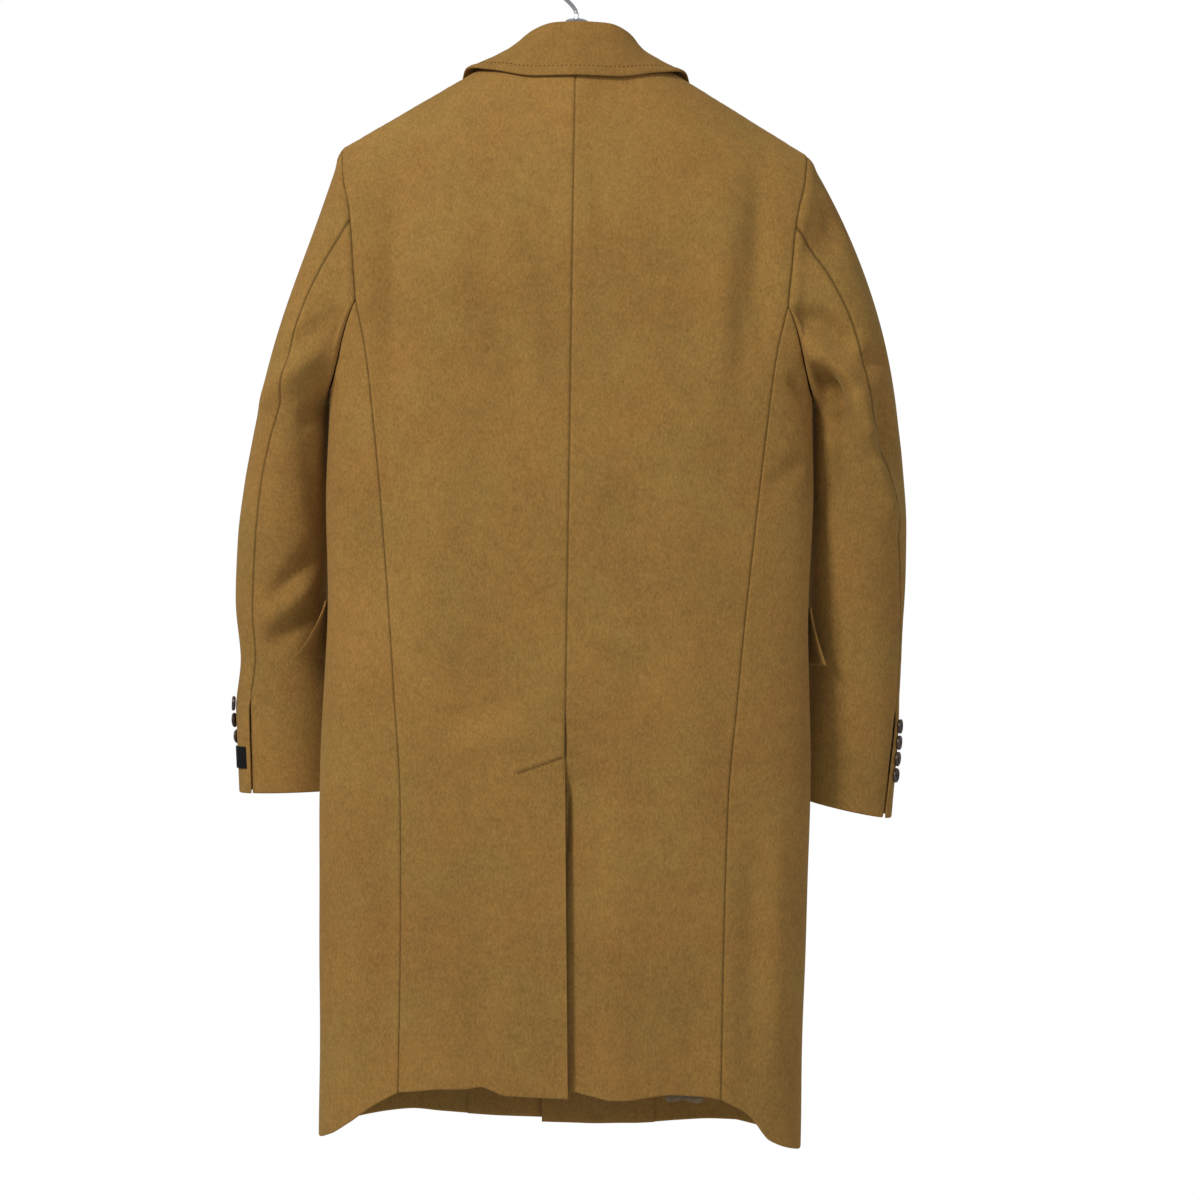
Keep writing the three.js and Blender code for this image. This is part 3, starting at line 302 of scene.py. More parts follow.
def body_value(points):
    """Negative inside the body's surface, positive outside it."""
    x, y, drop = points[..., 0], points[..., 1], -HOOK_DROP - points[..., 2]
    width = np.maximum(1 - (np.abs(x) / along(BODY, "half", drop)) ** RING_POWER, 0)
    return (y / depth_at(y > 0, drop)) ** 2 - rounding(x, drop) * width ** (2 / RING_POWER)


def body_slopes(points):
    step = 0.25
    parts = [
        (body_value(points + step * axis) - body_value(points - step * axis)) / (2 * step)
        for axis in np.eye(3)
    ]
    return np.stack(parts, -1)


def fold_height(folds, i, sideways, down, start, end):
    """One fold between two places: a bell across its line, eased in and out near its ends."""
    line = np.subtract(end, start)
    length = np.linalg.norm(line)
    line = line / length
    run = ((sideways - start[0]) * line[0] + (down - start[1]) * line[1]) / length
    off = (down - start[1]) * line[0] - (sideways - start[0]) * line[1]
    ends = smooth((run + 0.2) / 0.5) * smooth((1.2 - run) / 0.5)
    return folds["rise"][i] * ends * np.exp(-(off / folds["width"][i]) ** 2)


def small_folds(side, behind, x, drop):
    total = 0 * x
    for i in np.flatnonzero((BODY_FOLDS["side"] == side) & (BODY_FOLDS["behind"] == behind)):
        fold = {name: column[i] for name, column in BODY_FOLDS.items()}
        start, end = (fold["x"], fold["drop"]), (fold["toX"], fold["toDrop"])
        total = total + fold_height(BODY_FOLDS, i, x, drop, start, end)
    return total


def relief(side, angle, points):
    """How far the cloth stands off the plain surface: drapes are cosine-ended bell-shaped troughs."""
    x, drop = points[..., 0], -HOOK_DROP - points[..., 2]
    under = smooth((70 - x) / 45) if side < 0 else 0 * x
    lapped = smooth((50 - x) / 20) * smooth((drop - VENT_DROP + 50) / 40) if side < 0 else 0 * x
    total = 0 * x
    for i in np.flatnonzero(DRAPES["side"] == side):
        drape = {name: column[i] for name, column in DRAPES.items()}
        t = np.clip((drop - drape["top"]) / (drape["bottom"] - drape["top"]), 0, 1)
        across = (x - drape["x"] - drape["lean"] * (drop - drape["top"])) / drape["width"]
        total = total + drape["rise"] * np.sin(np.pi * t) * np.exp(-across ** 2)
    hang = np.maximum(rounding(x, drop), 0) * smooth(x / 30)
    uneven = 0.55 * np.sin(x / 17 + drop / 61 + side) * np.sin(drop / 43 - x / 39 + 2 * side)
    behind = (total + uneven + small_folds(side, 1, x, drop)) * hang - (CLOTH + LAYER_GAP) * lapped
    before = (uneven + small_folds(side, 0, x, drop)) * hang - FRONT_INSET * under
    return np.where(np.cos(angle) < 0, before, behind)


def leftward(side, angle, drop, out):
    """Points of one side's cloth moved out along the normal, with the normals, drawn on the left."""
    points = base_points(angle, drop)
    normals = unit(body_slopes(points))
    return points + normals * np.asarray(relief(side, angle, points) + out)[..., None], normals


def mirrored(side, *arrays):
    return [array * np.array([side, 1, 1]) for array in arrays]


def faces_at(side, points, normals, outer_shift, inner_shift):
    """A cloth's outer and inner face, at two distances along the normals, on their own side."""
    return mirrored(
        side, points + normals * outer_shift[..., None], points + normals * inner_shift[..., None])


def hem_drop(side, piece, share, x):
    hem = HEM[side][piece]
    return along(hem, "drop", np.abs(x), "x") if piece == "back" else along(hem, "drop", share, "share")


def piece_edges(side, piece, drop):
    """Angles of a piece's two long edges at a drop."""
    upper = drop < UNDERARM_DROP

    def outer(column):
        return np.where(upper, along(ARMHOLE, column, drop), along(SIDE_SEAM, column, drop))

    if piece == "side":
        return (
            angle_at(along(SIDE_SEAM, "back", drop), drop, True),
            angle_at(along(SIDE_SEAM, "front", drop), drop, False),
        )
    if piece == "front":
        return angle_at(roll_x(drop), drop, False), angle_at(outer("front"), drop, False)
    part = np.clip((drop - VENT_DROP) / 330, 0, 1)
    lap = -VENT_LAP * smooth((drop - VENT_DROP) / 40) if side < 0 else -VENT_LEAN * part
    return angle_at(lap, drop, True), angle_at(outer("back"), drop, True)


def row_drop(side, piece, share, row):
    """Drop of a piece's row at a share of its width, for whole arrays of rows and shares. The front's
    top row is moved five times to the ridge's drop at its own place, so that it ends on the ridge."""
    upper_part = 1 - np.cos(np.pi / 2 * np.minimum(row / UPPER_ROWS, 1))
    lower_part = np.maximum((row - UPPER_ROWS) / LOWER_ROWS, 0)
    if piece == "side":
        top = UNDERARM_DROP + SIDE_SCOOP * (1 - np.abs(2 * share - 1) ** 2.2)
        return lerp(top, hem_drop(side, piece, share, None), lower_part)
    first, last = piece_edges(side, piece, np.array(NECK_POINT_DROP))
    top_x = np.abs(base_points(lerp(first, last, share), NECK_POINT_DROP)[..., 0])
    top = np.maximum(ridge_drop(top_x), neck_drop(top_x)) if piece == "back" else ridge_drop(top_x)
    if piece == "front":
        for _ in range(5):
            first, last = piece_edges(side, piece, top)
            top = ridge_drop(base_points(lerp(first, last, share), top)[..., 0])
    first, last = piece_edges(side, piece, np.array(HEM_LEVEL))
    hem_x = base_points(lerp(first, last, share), HEM_LEVEL)[..., 0]
    lower = lerp(UNDERARM_DROP, hem_drop(side, piece, share, hem_x), lower_part)
    return np.where(row <= UPPER_ROWS, lerp(top, UNDERARM_DROP, upper_part), lower)


# Grids and meshes

EDGE_STEPS = np.array([0, 0.15, 0.45, 0.9, 1.5, 2.4, 3.8, 6.0])


def fine_shares(length, step, first=True, last=True):
    """Shares from 0 to 1 at even steps, with closer ones next to the ends."""
    even = np.linspace(0, 1, max(int(round(length / step)), 2) + 1)
    near = EDGE_STEPS / length
    keep = even[(even > (near[-1] * 1.3 if first else -1)) & (even < (1 - near[-1] * 1.3 if last else 2))]
    return np.unique(np.concatenate([near if first else [0], keep, 1 - near if last else [1]]))


def grid_normals(grid, closed=False):
    """Unit cross products of the differences across and down a grid."""
    if closed:
        across = np.roll(grid, -1, 1) - np.roll(grid, 1, 1)
    else:
        across = np.gradient(grid, axis=1)
    return unit(np.cross(across, np.gradient(grid, axis=0)))


def edge_distances(points):
    """Lengths along the grid from each of its four edges."""
    across = np.linalg.norm(np.diff(points, axis=1), axis=2)
    down = np.linalg.norm(np.diff(points, axis=0), axis=2)
    first = np.pad(np.cumsum(across, 1), ((0, 0), (1, 0)))
    top = np.pad(np.cumsum(down, 0), ((1, 0), (0, 0)))
    return {"first": first, "last": first[:, -1:] - first, "top": top, "bottom": top[-1:] - top}


def edge_shape(points, seams, folds, thickness, depth=1.0, pucker=0.3):
    """Offsets of the outer and inner faces: a seam dips as a bell and puckers a little along itself,
    and a free edge is rounded off as a half circle."""
    distances = edge_distances(points)
    outer = np.zeros(points.shape[:2])
    inner = np.zeros(points.shape[:2])
    for edge in seams:
        near = distances[edge]
        run = distances["top" if edge in ("first", "last") else "first"]
        outer -= depth * np.exp(-(near / 1.5) ** 2)
        wave = np.sin(run / 7.3 + 3 * np.sin(run / 31)) * np.sin(run / 3.1 + run / 57)
        outer += pucker * wave * np.exp(-near / 9)
    radius = thickness / 2
    for edge in folds:
        part = np.clip(1 - distances[edge] / (1.6 * radius), 0, 0.97)
        fall = radius * (1 - np.sqrt(1 - part ** 2))
        outer -= fall
        inner += fall
    return outer, inner


def seam_shade(points, seams):
    """Painted shade of a seam: a bell of about a millimetre along each sewn edge, darkening the colour where
    shade falls in the seam's groove.
    """
    distances = edge_distances(points)
    return sum((np.exp(-(distances[edge] / 0.75) ** 2) for edge in seams), np.zeros(points.shape[:2]))


def mesh_from_grids(name, outer, inner, finishes=("brushed_wool",), lined=None, shade=None):
    """A closed wall between two grids of points in millimetres, given in metres with faces outwards.
    The cells of the inner face for which lined holds take the second finish, and shade, the painted shade
    of seams and of the vent, is kept as the attribute painted_groove_shade."""
    rows, columns = outer.shape[:2]
    vertices = np.concatenate([outer.reshape(-1, 3), inner.reshape(-1, 3)]) * MM
    index = np.arange(rows * columns).reshape(rows, columns)
    other = index + rows * columns
    left, right = index[:, :-1], index[:, 1:]
    other_left, other_right = other[:, :-1], other[:, 1:]

    def quads(a, b, c, d):
        return np.stack([a, b, c, d], -1).reshape(-1, 4)

    faces = [
        quads(left[:-1], left[1:], right[1:], right[:-1]),
        quads(other_left[:-1], other_right[:-1], other_right[1:], other_left[1:]),
        quads(left[0], right[0], other_right[0], other_left[0]),
        quads(left[-1], other_left[-1], other_right[-1], right[-1]),
        quads(index[:-1, 0], other[:-1, 0], other[1:, 0], index[1:, 0]),
        quads(index[:-1, -1], index[1:, -1], other[1:, -1], other[:-1, -1]),
    ]
    finish = np.zeros(sum(len(block) for block in faces), np.int32)
    if lined is not None:
        finish[len(faces[0]):2 * len(faces[0])] = lined[:-1, :-1].ravel()
    result = mesh_object(name, vertices, np.concatenate(faces), finish)
    # Painted shade of the seams and the vent, on the outer face's points.
    painted_groove_shade = np.zeros((2, rows * columns))
    if shade is not None:
        painted_groove_shade[0] = np.clip(shade, 0, 1).ravel()
    attribute = result.data.attributes.new("painted_groove_shade", "FLOAT", "POINT")
    attribute.data.foreach_set("value", painted_groove_shade.astype(np.float32).ravel())
    for material in finishes:
        result.data.materials.append(materials()[material])
    return result


def mesh_object(name, vertices, faces, finish=None, smooth_angle=50.0):
    """An object of quads, turned so that its enclosed volume is positive."""
    a, b, c, d = (vertices[faces[:, i]] for i in range(4))
    volume = np.einsum("ij,ij->", a, np.cross(b, c)) + np.einsum("ij,ij->", a, np.cross(c, d))
    if volume < 0:
        faces = faces[:, ::-1]
    mesh = bpy.data.meshes.new(name)
    mesh.vertices.add(len(vertices))
    mesh.vertices.foreach_set("co", vertices.astype(np.float32).ravel())
    mesh.loops.add(faces.size)
    mesh.loops.foreach_set("vertex_index", faces.astype(np.int32).ravel())
    mesh.polygons.add(len(faces))
    mesh.polygons.foreach_set("loop_start", np.arange(0, faces.size, 4, dtype=np.int32))
    mesh.polygons.foreach_set("use_smooth", np.ones(len(faces), bool))
    if finish is not None:
        mesh.polygons.foreach_set("material_index", finish)
    mesh.update(calc_edges=True)
    mesh.validate()
    mesh.set_sharp_from_angle(angle=np.radians(smooth_angle))
    piece = bpy.data.objects.new(name, mesh)
    bpy.context.scene.collection.objects.link(piece)
    return piece


def declare_cloth(piece, node):
    """Makes a sheet of cloth ride the root and hides the solid it replaces."""
    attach(piece, "root")
    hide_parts(node)


def finish_piece(piece, node, slot, *materials):
    for material in materials:
        piece.data.materials.append(material)
    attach(piece, "root")
    if node:
        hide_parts(node)


# Materials

def new_material(name):
    """A material with its tree, its shader and the object's own coordinates."""
    material = bpy.data.materials.new(name)
    material.use_nodes = True
    tree = material.node_tree
    place = tree.nodes.new("ShaderNodeTexCoord").outputs["Object"]
    return material, tree, tree.nodes["Principled BSDF"], place


def toned(tree, factor, colour, dark, light, start=0.0, stop=1.0):
    """A ramp from a darker to a lighter tone of a colour."""
    ramp = tree.nodes.new("ShaderNodeValToRGB")
    colour = np.array(colour[:3])
    for element, position, tone in zip(ramp.color_ramp.elements, (start, stop), (dark, light)):
        element.position = position
        element.color = (*(colour * tone), 1)
    tree.links.new(factor, ramp.inputs["Fac"])
    return ramp.outputs["Color"]


def raise_by(tree, shader, height, strength, distance):
    """Fine relief in the shading, from a height."""
    bump = tree.nodes.new("ShaderNodeBump")
    bump.inputs["Strength"].default_value = strength
    bump.inputs["Distance"].default_value = distance
    tree.links.new(height, bump.inputs["Height"])
    tree.links.new(bump.outputs["Normal"], shader.inputs["Normal"])


def noise_node(tree, coordinate, scale, detail=3.0, roughness=0.6, stretch=(1, 1, 1)):
    mapping = tree.nodes.new("ShaderNodeMapping")
    mapping.inputs["Scale"].default_value = stretch
    noise = tree.nodes.new("ShaderNodeTexNoise")
    noise.inputs["Scale"].default_value = scale
    noise.inputs["Detail"].default_value = detail
    noise.inputs["Roughness"].default_value = roughness
    tree.links.new(coordinate, mapping.inputs["Vector"])
    tree.links.new(mapping.outputs["Vector"], noise.inputs["Vector"])
    return noise.outputs["Fac"]


def mix_node(tree, blend, factor, first, second):
    """A colour mix of a link with a plain colour."""
    node = tree.nodes.new("ShaderNodeMix")
    node.data_type = "RGBA"
    node.blend_type = blend
    socket_first, socket_second = [socket for socket in node.inputs if socket.type == "RGBA"]
    tree.links.new(factor, node.inputs["Factor"])
    tree.links.new(first, socket_first)
    socket_second.default_value = (*second, 1)
    return [socket for socket in node.outputs if socket.type == "RGBA"][0]


def math_node(tree, operation, first, second, third=None):
    node = tree.nodes.new("ShaderNodeMath")
    node.operation = operation
    for socket, value in zip(node.inputs, (first, second, third)):
        if value is None:
            continue
        if isinstance(value, (int, float)):
            socket.default_value = value
        else:
            tree.links.new(value, socket)
    return node.outputs[0]


def clamped(output):
    output.node.use_clamp = True
    return output


def wool_material(name, colour, nap=1.0, sheen=0.2, paints_groove_shade=True):
    """Brushed overcoating: a felted nap lying downwards, with melange flecks and slow unevenness, and, when
    asked, painted shade along seams and at the vent.
    """
    material, tree, shader, place = new_material(name)
    flecks = noise_node(tree, place, 430.0, 4.0, 0.75, (1, 1, 0.6))
    fibres = noise_node(tree, place, 1300.0, 3.0, 0.6, (1, 1, 0.3))
    mottle = noise_node(tree, place, 85.0, 3.0, 0.55)
    slow = noise_node(tree, place, 9.0, 2.0, 0.5)
    total = math_node(tree, "MULTIPLY", flecks, 0.46)
    total = math_node(tree, "MULTIPLY_ADD", fibres, 0.24, total)
    total = math_node(tree, "MULTIPLY_ADD", mottle, 0.14, total)
    total = math_node(tree, "MULTIPLY_ADD", slow, 0.16, total)
    shades = toned(tree, total, colour, 0.62, 1.38, 0.34, 0.66)
    tone = math_node(tree, "MULTIPLY_ADD", noise_node(tree, place, 14.0, 3.0, 0.6), 3.4, -1.2)
    tint = mix_node(tree, "MULTIPLY", clamped(tone), shades, (1.03, 0.93, 0.93))
    # Painted shade: where the attribute holds, the colour darkens towards 0.22 of itself, as shade in seams
    # and at the vent.
    if paints_groove_shade:
        painted_groove_shade = tree.nodes.new("ShaderNodeAttribute")
        painted_groove_shade.attribute_name = "painted_groove_shade"
        depth = math_node(tree, "MULTIPLY", painted_groove_shade.outputs["Fac"], 0.75)
        tint = mix_node(tree, "MIX", depth, tint, np.array(colour[:3]) * 0.22)
    tree.links.new(tint, shader.inputs["Base Color"])
    height = math_node(tree, "MULTIPLY_ADD", flecks, 0.7, math_node(tree, "MULTIPLY", fibres, 0.5))
    height = math_node(tree, "MULTIPLY_ADD", mottle, 1.1, height)
    raise_by(tree, shader, height, 0.5 * nap, 0.0005)
    shader.inputs["Roughness"].default_value = 0.95
    shader.inputs["Specular IOR Level"].default_value = 0.15
    shader.inputs["Sheen Weight"].default_value = sheen
    shader.inputs["Sheen Roughness"].default_value = 0.45
    shader.inputs["Sheen Tint"].default_value = (0.95, 0.7, 0.33, 1)
    return material


def lining_material(name, colour):
    """Smooth lining twill: fine slanted ribs with a soft gloss."""
    material, tree, shader, place = new_material(name)
    wave = tree.nodes.new("ShaderNodeTexWave")
    wave.bands_direction = "DIAGONAL"
    wave.inputs["Scale"].default_value = 420.0
    wave.inputs["Distortion"].default_value = 0.6
    tree.links.new(place, wave.inputs["Vector"])
    slow = noise_node(tree, place, 40.0)
    total = math_node(tree, "MULTIPLY", slow, 0.6)
    total = math_node(tree, "MULTIPLY_ADD", wave.outputs["Fac"], 0.4, total)
    tree.links.new(toned(tree, total, colour, 0.8, 1.2), shader.inputs["Base Color"])
    raise_by(tree, shader, wave.outputs["Fac"], 0.25, 0.0003)
    shader.inputs["Roughness"].default_value = 0.5
    shader.inputs["Sheen Weight"].default_value = 0.2
    return material


def horn_material(name, colour):
    """Polished horn: dark with cloudy lighter streaks."""
    material, tree, shader, place = new_material(name)
    streaks = noise_node(tree, place, 160.0, 4.0, 0.6, (1, 1, 0.25))
    shades = toned(tree, streaks, colour, 0.6, 2.2, 0.38, 0.72)
    tree.links.new(shades, shader.inputs["Base Color"])
    rough = math_node(tree, "MULTIPLY_ADD", streaks, 0.2, 0.18)
    tree.links.new(rough, shader.inputs["Roughness"])
    return material


def wood_material(name, colour):
    """Varnished beech: long grain along the bar, with darker pores."""
    material, tree, shader, place = new_material(name)
    grain = noise_node(tree, place, 90.0, 5.0, 0.65, (0.12, 1, 1))
    pores = noise_node(tree, place, 700.0, 2.0, 0.5, (0.06, 1, 1))
    total = math_node(tree, "MULTIPLY_ADD", grain, 0.75, math_node(tree, "MULTIPLY", pores, 0.3))
    shades = toned(tree, total, colour, 0.6, 1.35, 0.36, 0.68)
    tree.links.new(shades, shader.inputs["Base Color"])
    shader.inputs["Roughness"].default_value = 0.38
    shader.inputs["Coat Weight"].default_value = 0.4
    shader.inputs["Coat Roughness"].default_value = 0.15
    return material


def metal_material(name, colour):
    """Plated steel with faint drawing marks."""
    material, tree, shader, place = new_material(name)
    marks = noise_node(tree, place, 900.0, 2.0, 0.5, (1, 1, 0.1))
    tree.links.new(math_node(tree, "MULTIPLY_ADD", marks, 0.2, 0.16), shader.inputs["Roughness"])
    shader.inputs["Base Color"].default_value = (*colour[:3], 1)
    shader.inputs["Metallic"].default_value = 1.0
    return material


def label_material(name, colour):
    """Tight satin weave of a bare label."""
    material, tree, shader, place = new_material(name)
    weave = tree.nodes.new("ShaderNodeTexWave")
    weave.bands_direction = "Z"
    weave.inputs["Scale"].default_value = 700.0
    tree.links.new(place, weave.inputs["Vector"])
    raise_by(tree, shader, weave.outputs["Fac"], 0.3, 0.0002)
    shader.inputs["Base Color"].default_value = (*colour[:3], 1)
    shader.inputs["Specular IOR Level"].default_value = 0.2
    shader.inputs["Roughness"].default_value = 0.7
    return material


def pale_floor_material(name):
    """Matt pale paint, a little uneven."""
    material, tree, shader, place = new_material(name)
    tone = noise_node(tree, place, 3.0)
    tree.links.new(math_node(tree, "MULTIPLY_ADD", tone, 0.05, 0.6), shader.inputs["Roughness"])
    shader.inputs["Base Color"].default_value = (0.93, 0.93, 0.93, 1)
    return material


def materials():
    """The coat's materials, made once from the chosen colours."""
    colours = bpy.context.scene.overcoat_colours
    if "brushed_wool" not in bpy.data.materials:
        wool_material("brushed_wool", colours.wool)
        # The collar's wool is the body's wool at 0.87: partly a darker cloth of its own, partly painted shade
        # of the collar turned upwards from the frontal light.
        wool_material("collar_wool", np.array(colours.wool) * 0.87)
        wool_material("facing_wool", colours.facing, 0.8, 0.15)
        wool_material("button_thread", (0.08, 0.05, 0.03), 0.4, 0.1, False)
        # Near-black stitch thread: its darkness is painted shade of the dimples that the stitches sink into
        # the collar.
        wool_material("dark_thread", (0.06, 0.03, 0.007), 0.4, 0.0, False)
        lining_material("lining_twill", colours.lining)
        horn_material("polished_horn", colours.button)
        label_material("label_satin", colours.label)
        wood_material("varnished_beech", colours.wood)
        metal_material("plated_steel", colours.metal)
    return bpy.data.materials


# Cloth pieces

def panel_object(side, piece):
    """One back, side body or front: its outer face on the body's surface, its inner face a cloth's
    thickness within, seams dipped and free edges rounded."""
    sizes = bpy.context.scene.overcoat_sizes
    cloth = sizes.cloth / MM
    width = {"back": 212, "side": 170, "front": 225}[piece]
    seams = ["last", "top"] if piece == "front" else ["first", "last", "top"]
    folds = ["bottom", "first"] if piece == "front" else ["bottom"]
    shares = fine_shares(width, sizes.grid / MM)
    lower = fine_shares(790, sizes.grid / MM, first=piece == "side")
    if piece == "back" and side > 0:
        lower = np.union1d(lower[(lower < 0.567) | (lower > 0.605)], np.linspace(0.567, 0.605, 36))
    lower = UPPER_ROWS + LOWER_ROWS * lower
    upper = np.union1d(UPPER_ROWS * np.linspace(0, 1, 49)[:-1], EDGE_STEPS[:5] / RIDGE_ROW)
    rows = lower if piece == "side" else np.concatenate([upper, lower])
    share, row = np.meshgrid(shares, rows)
    drop = row_drop(side, piece, share, row)
    first, last = piece_edges(side, piece, drop)
    points, normals = leftward(side, lerp(first, last, share), drop, 0)
    outer_shift, inner_shift = edge_shape(points, seams, folds, cloth, sizes.seam_depth / MM)
    distances = edge_distances(points)
    # Painted shade: darkening along the seams and, on the backs, at the vent.
    shade = seam_shade(points, seams)
    if piece == "back":
        shade *= 1 - (distances["first"] < 8) * smooth((drop - VENT_DROP) / 8)
        vent_outer, vent_both, vent_shade = vent_shape(side, points, drop, distances["first"])
        outer_shift += vent_outer + vent_both
        inner_shift += vent_both
        shade += vent_shade
    inner_shift -= 0.8 * smooth((HEM_TURN - distances["bottom"]) / 3)
    outer, inner = faces_at(side, points, normals, outer_shift, inner_shift - cloth)
    name = piece + "_" + SIDE_NAME[side]
    lined = distances["bottom"] > HEM_TURN
    finishes = ("brushed_wool", "lining_twill")
    result = mesh_from_grids(name + "_cloth", outer, inner, finishes, lined, shade)
    declare_cloth(result, name)
    return result


def vent_shape(side, points, drop, from_edge):
    """Offsets at the vent, and its painted shade. The left back: a stitched line across its top, as a
    bell-shaped groove under a low ridge, and an edge that curls out. The right back: a bell-shaped trough
    beside that edge. The
    third value is painted shade: along the stitched line, and in the trough beside the left back's edge."""
    x = points[..., 0]
    below = smooth((drop - VENT_DROP - 4) / 45)
    open_edge = 0.9 * below * np.exp(-(from_edge / 1.5) ** 2)
    part = np.clip((drop - VENT_DROP) / 330, 0, 1)
    if side < 0:
        place = x - VENT_LEAN * part
        trough = 7.0 * (1 - 0.6 * part) * below * np.exp(-((place - 3) / 6) ** 2)
        return open_edge, -trough, 1.1 * below * np.exp(-(np.maximum(place - 0.5, 0) / 2.2) ** 2)
    start, end = np.array(VENT_STITCH)
    line = unit(end - start)
    away = np.stack([x, drop], -1) - start
    run = away @ line
    off = away @ np.array([-line[1], line[0]])
    inside = smooth((run + 1) / 2) * smooth((np.linalg.norm(end - start) - run + 2) / 4)
    groove = -1.3 * np.exp(-(off / 1.1) ** 2) + 0.9 * np.exp(-((off + 4.5) / 3.5) ** 2)
    curl = (1.2 + 2.2 * part) * below * np.exp(-from_edge / 14)
    return open_edge + groove * inside, curl, inside * np.exp(-(off / 0.9) ** 2)


def facing_object(side):
    """Facing: the strip inside the front edge, on the front's own points moved in."""
    rows = np.linspace(UPPER_ROWS + 3, UPPER_ROWS + LOWER_ROWS, 190)
    shares = fine_shares(110, 4) * 5 / 11
    share, row = np.meshgrid(shares, rows)
    drop = row_drop(side, "front", share, row)
    first, last = piece_edges(side, "front", drop)
    points, normals = leftward(side, lerp(first, last, share), drop, -CLOTH - LAYER_GAP)
    outer_shift, inner_shift = edge_shape(points, [], ["first", "last", "top", "bottom"], FACING_CLOTH)
    outer, inner = faces_at(side, points, normals, outer_shift, inner_shift - FACING_CLOTH)
    name = "facing_" + SIDE_NAME[side]
    result = mesh_from_grids(name + "_cloth", outer, inner, ("facing_wool",))
    declare_cloth(result, name)
    return result


def lining_object():
    """Strip of lining below the right back hem: the hem's own curve, hanging a little lower."""
    share, part = np.meshgrid(np.linspace(7 / 11, 10 / 11, 40), np.linspace(0, 1, 24))
    first, last = piece_edges(-1, "back", np.array(HEM_LEVEL))
    angle = lerp(first, last, share)
    hem = hem_drop(-1, "back", share, base_points(angle, HEM_LEVEL)[..., 0])
    sag = 6 + 1.2 * np.sin(share * 40) - 5 * smooth((share - 0.86) / 0.05)
    drop = lerp(hem - 34, hem + sag, part)
    points, normals = leftward(-1, angle, drop, -CLOTH - LAYER_GAP)
    ripple = 0.5 * np.sin(share * 90) * part
    outer, inner = faces_at(-1, points, normals, ripple, ripple - 1)
    result = mesh_from_grids("lining_strip_cloth", outer, inner, ("lining_twill",))
    declare_cloth(result, "lining_strip")
    return result


def lapel_object(side):
    """Lapel: straight lines from the roll line out to a bulged edge, laid on the front."""
    share, part = np.meshgrid(fine_shares(120, 4), lerp(0.02, 1, fine_shares(330, 4)))
    roll_drop = lerp(BREAK_DROP - 4, LAPEL_GORGE_DROP, part)
    edge_x = lerp(2 - FRONT_OVERLAP, LAPEL_TIP[0], part) + LAPEL_BULGE * np.sin(np.pi * part)
    edge_drop = lerp(BREAK_DROP - 4, LAPEL_TIP[1], part)
    notch = part * 4 * np.minimum(share / GORGE_SHARE, 1)
    x = lerp(roll_x(roll_drop) + 0.5, edge_x, share)
    drop = lerp(roll_drop, edge_drop, share) + notch
    out = LAYER_GAP + 0.3 + 0.6 * smooth(share * 3)
    points, normals = leftward(side, angle_at(x, drop, False), drop, out)
    outer_shift, inner_shift = edge_shape(points, [], ["first", "last", "bottom", "top"], CLOTH)
    distances = edge_distances(points)
    stitched = np.exp(-((distances["last"] - 6) / 0.7) ** 2) + np.exp(-((distances["bottom"] - 6) / 0.7) ** 2)
    outer, inner = faces_at(side, points, normals, outer_shift + CLOTH - 0.3 * stitched, inner_shift)
    name = "lapel_" + SIDE_NAME[side]
    result = mesh_from_grids(name + "_cloth", outer, inner)
    declare_cloth(result, name)
    return result


def clear_of_body(points, clearance):
    """Moves points out along the body's normal until each is clear of the cloth."""
    for _ in range(5):
        slopes = body_slopes(points)
        steep = np.maximum(np.linalg.norm(slopes, axis=-1), 1e-9)
        short = np.maximum(clearance - body_value(points) / steep, 0)
        points = points + slopes / steep[..., None] * short[..., None]
    return points


def neck_points(at):
    """The neckline, from the centre back at 0 over the neck point at 3.8 to the gorge at 7."""
    x = NECK_HALF * np.sin(np.pi / 2 * np.minimum(at / NECK_POINT_AT, 1))
    behind = base_points(angle_at(x, neck_drop(x), True), neck_drop(x))
    part = np.maximum((at - NECK_POINT_AT) / (7 - NECK_POINT_AT), 0) ** 1.3
    drop = lerp(NECK_POINT_DROP, LAPEL_GORGE_DROP - 6, part)
    before = base_points(angle_at(roll_x(drop), drop, False), drop)
    return np.where((at <= NECK_POINT_AT)[..., None], behind, before)


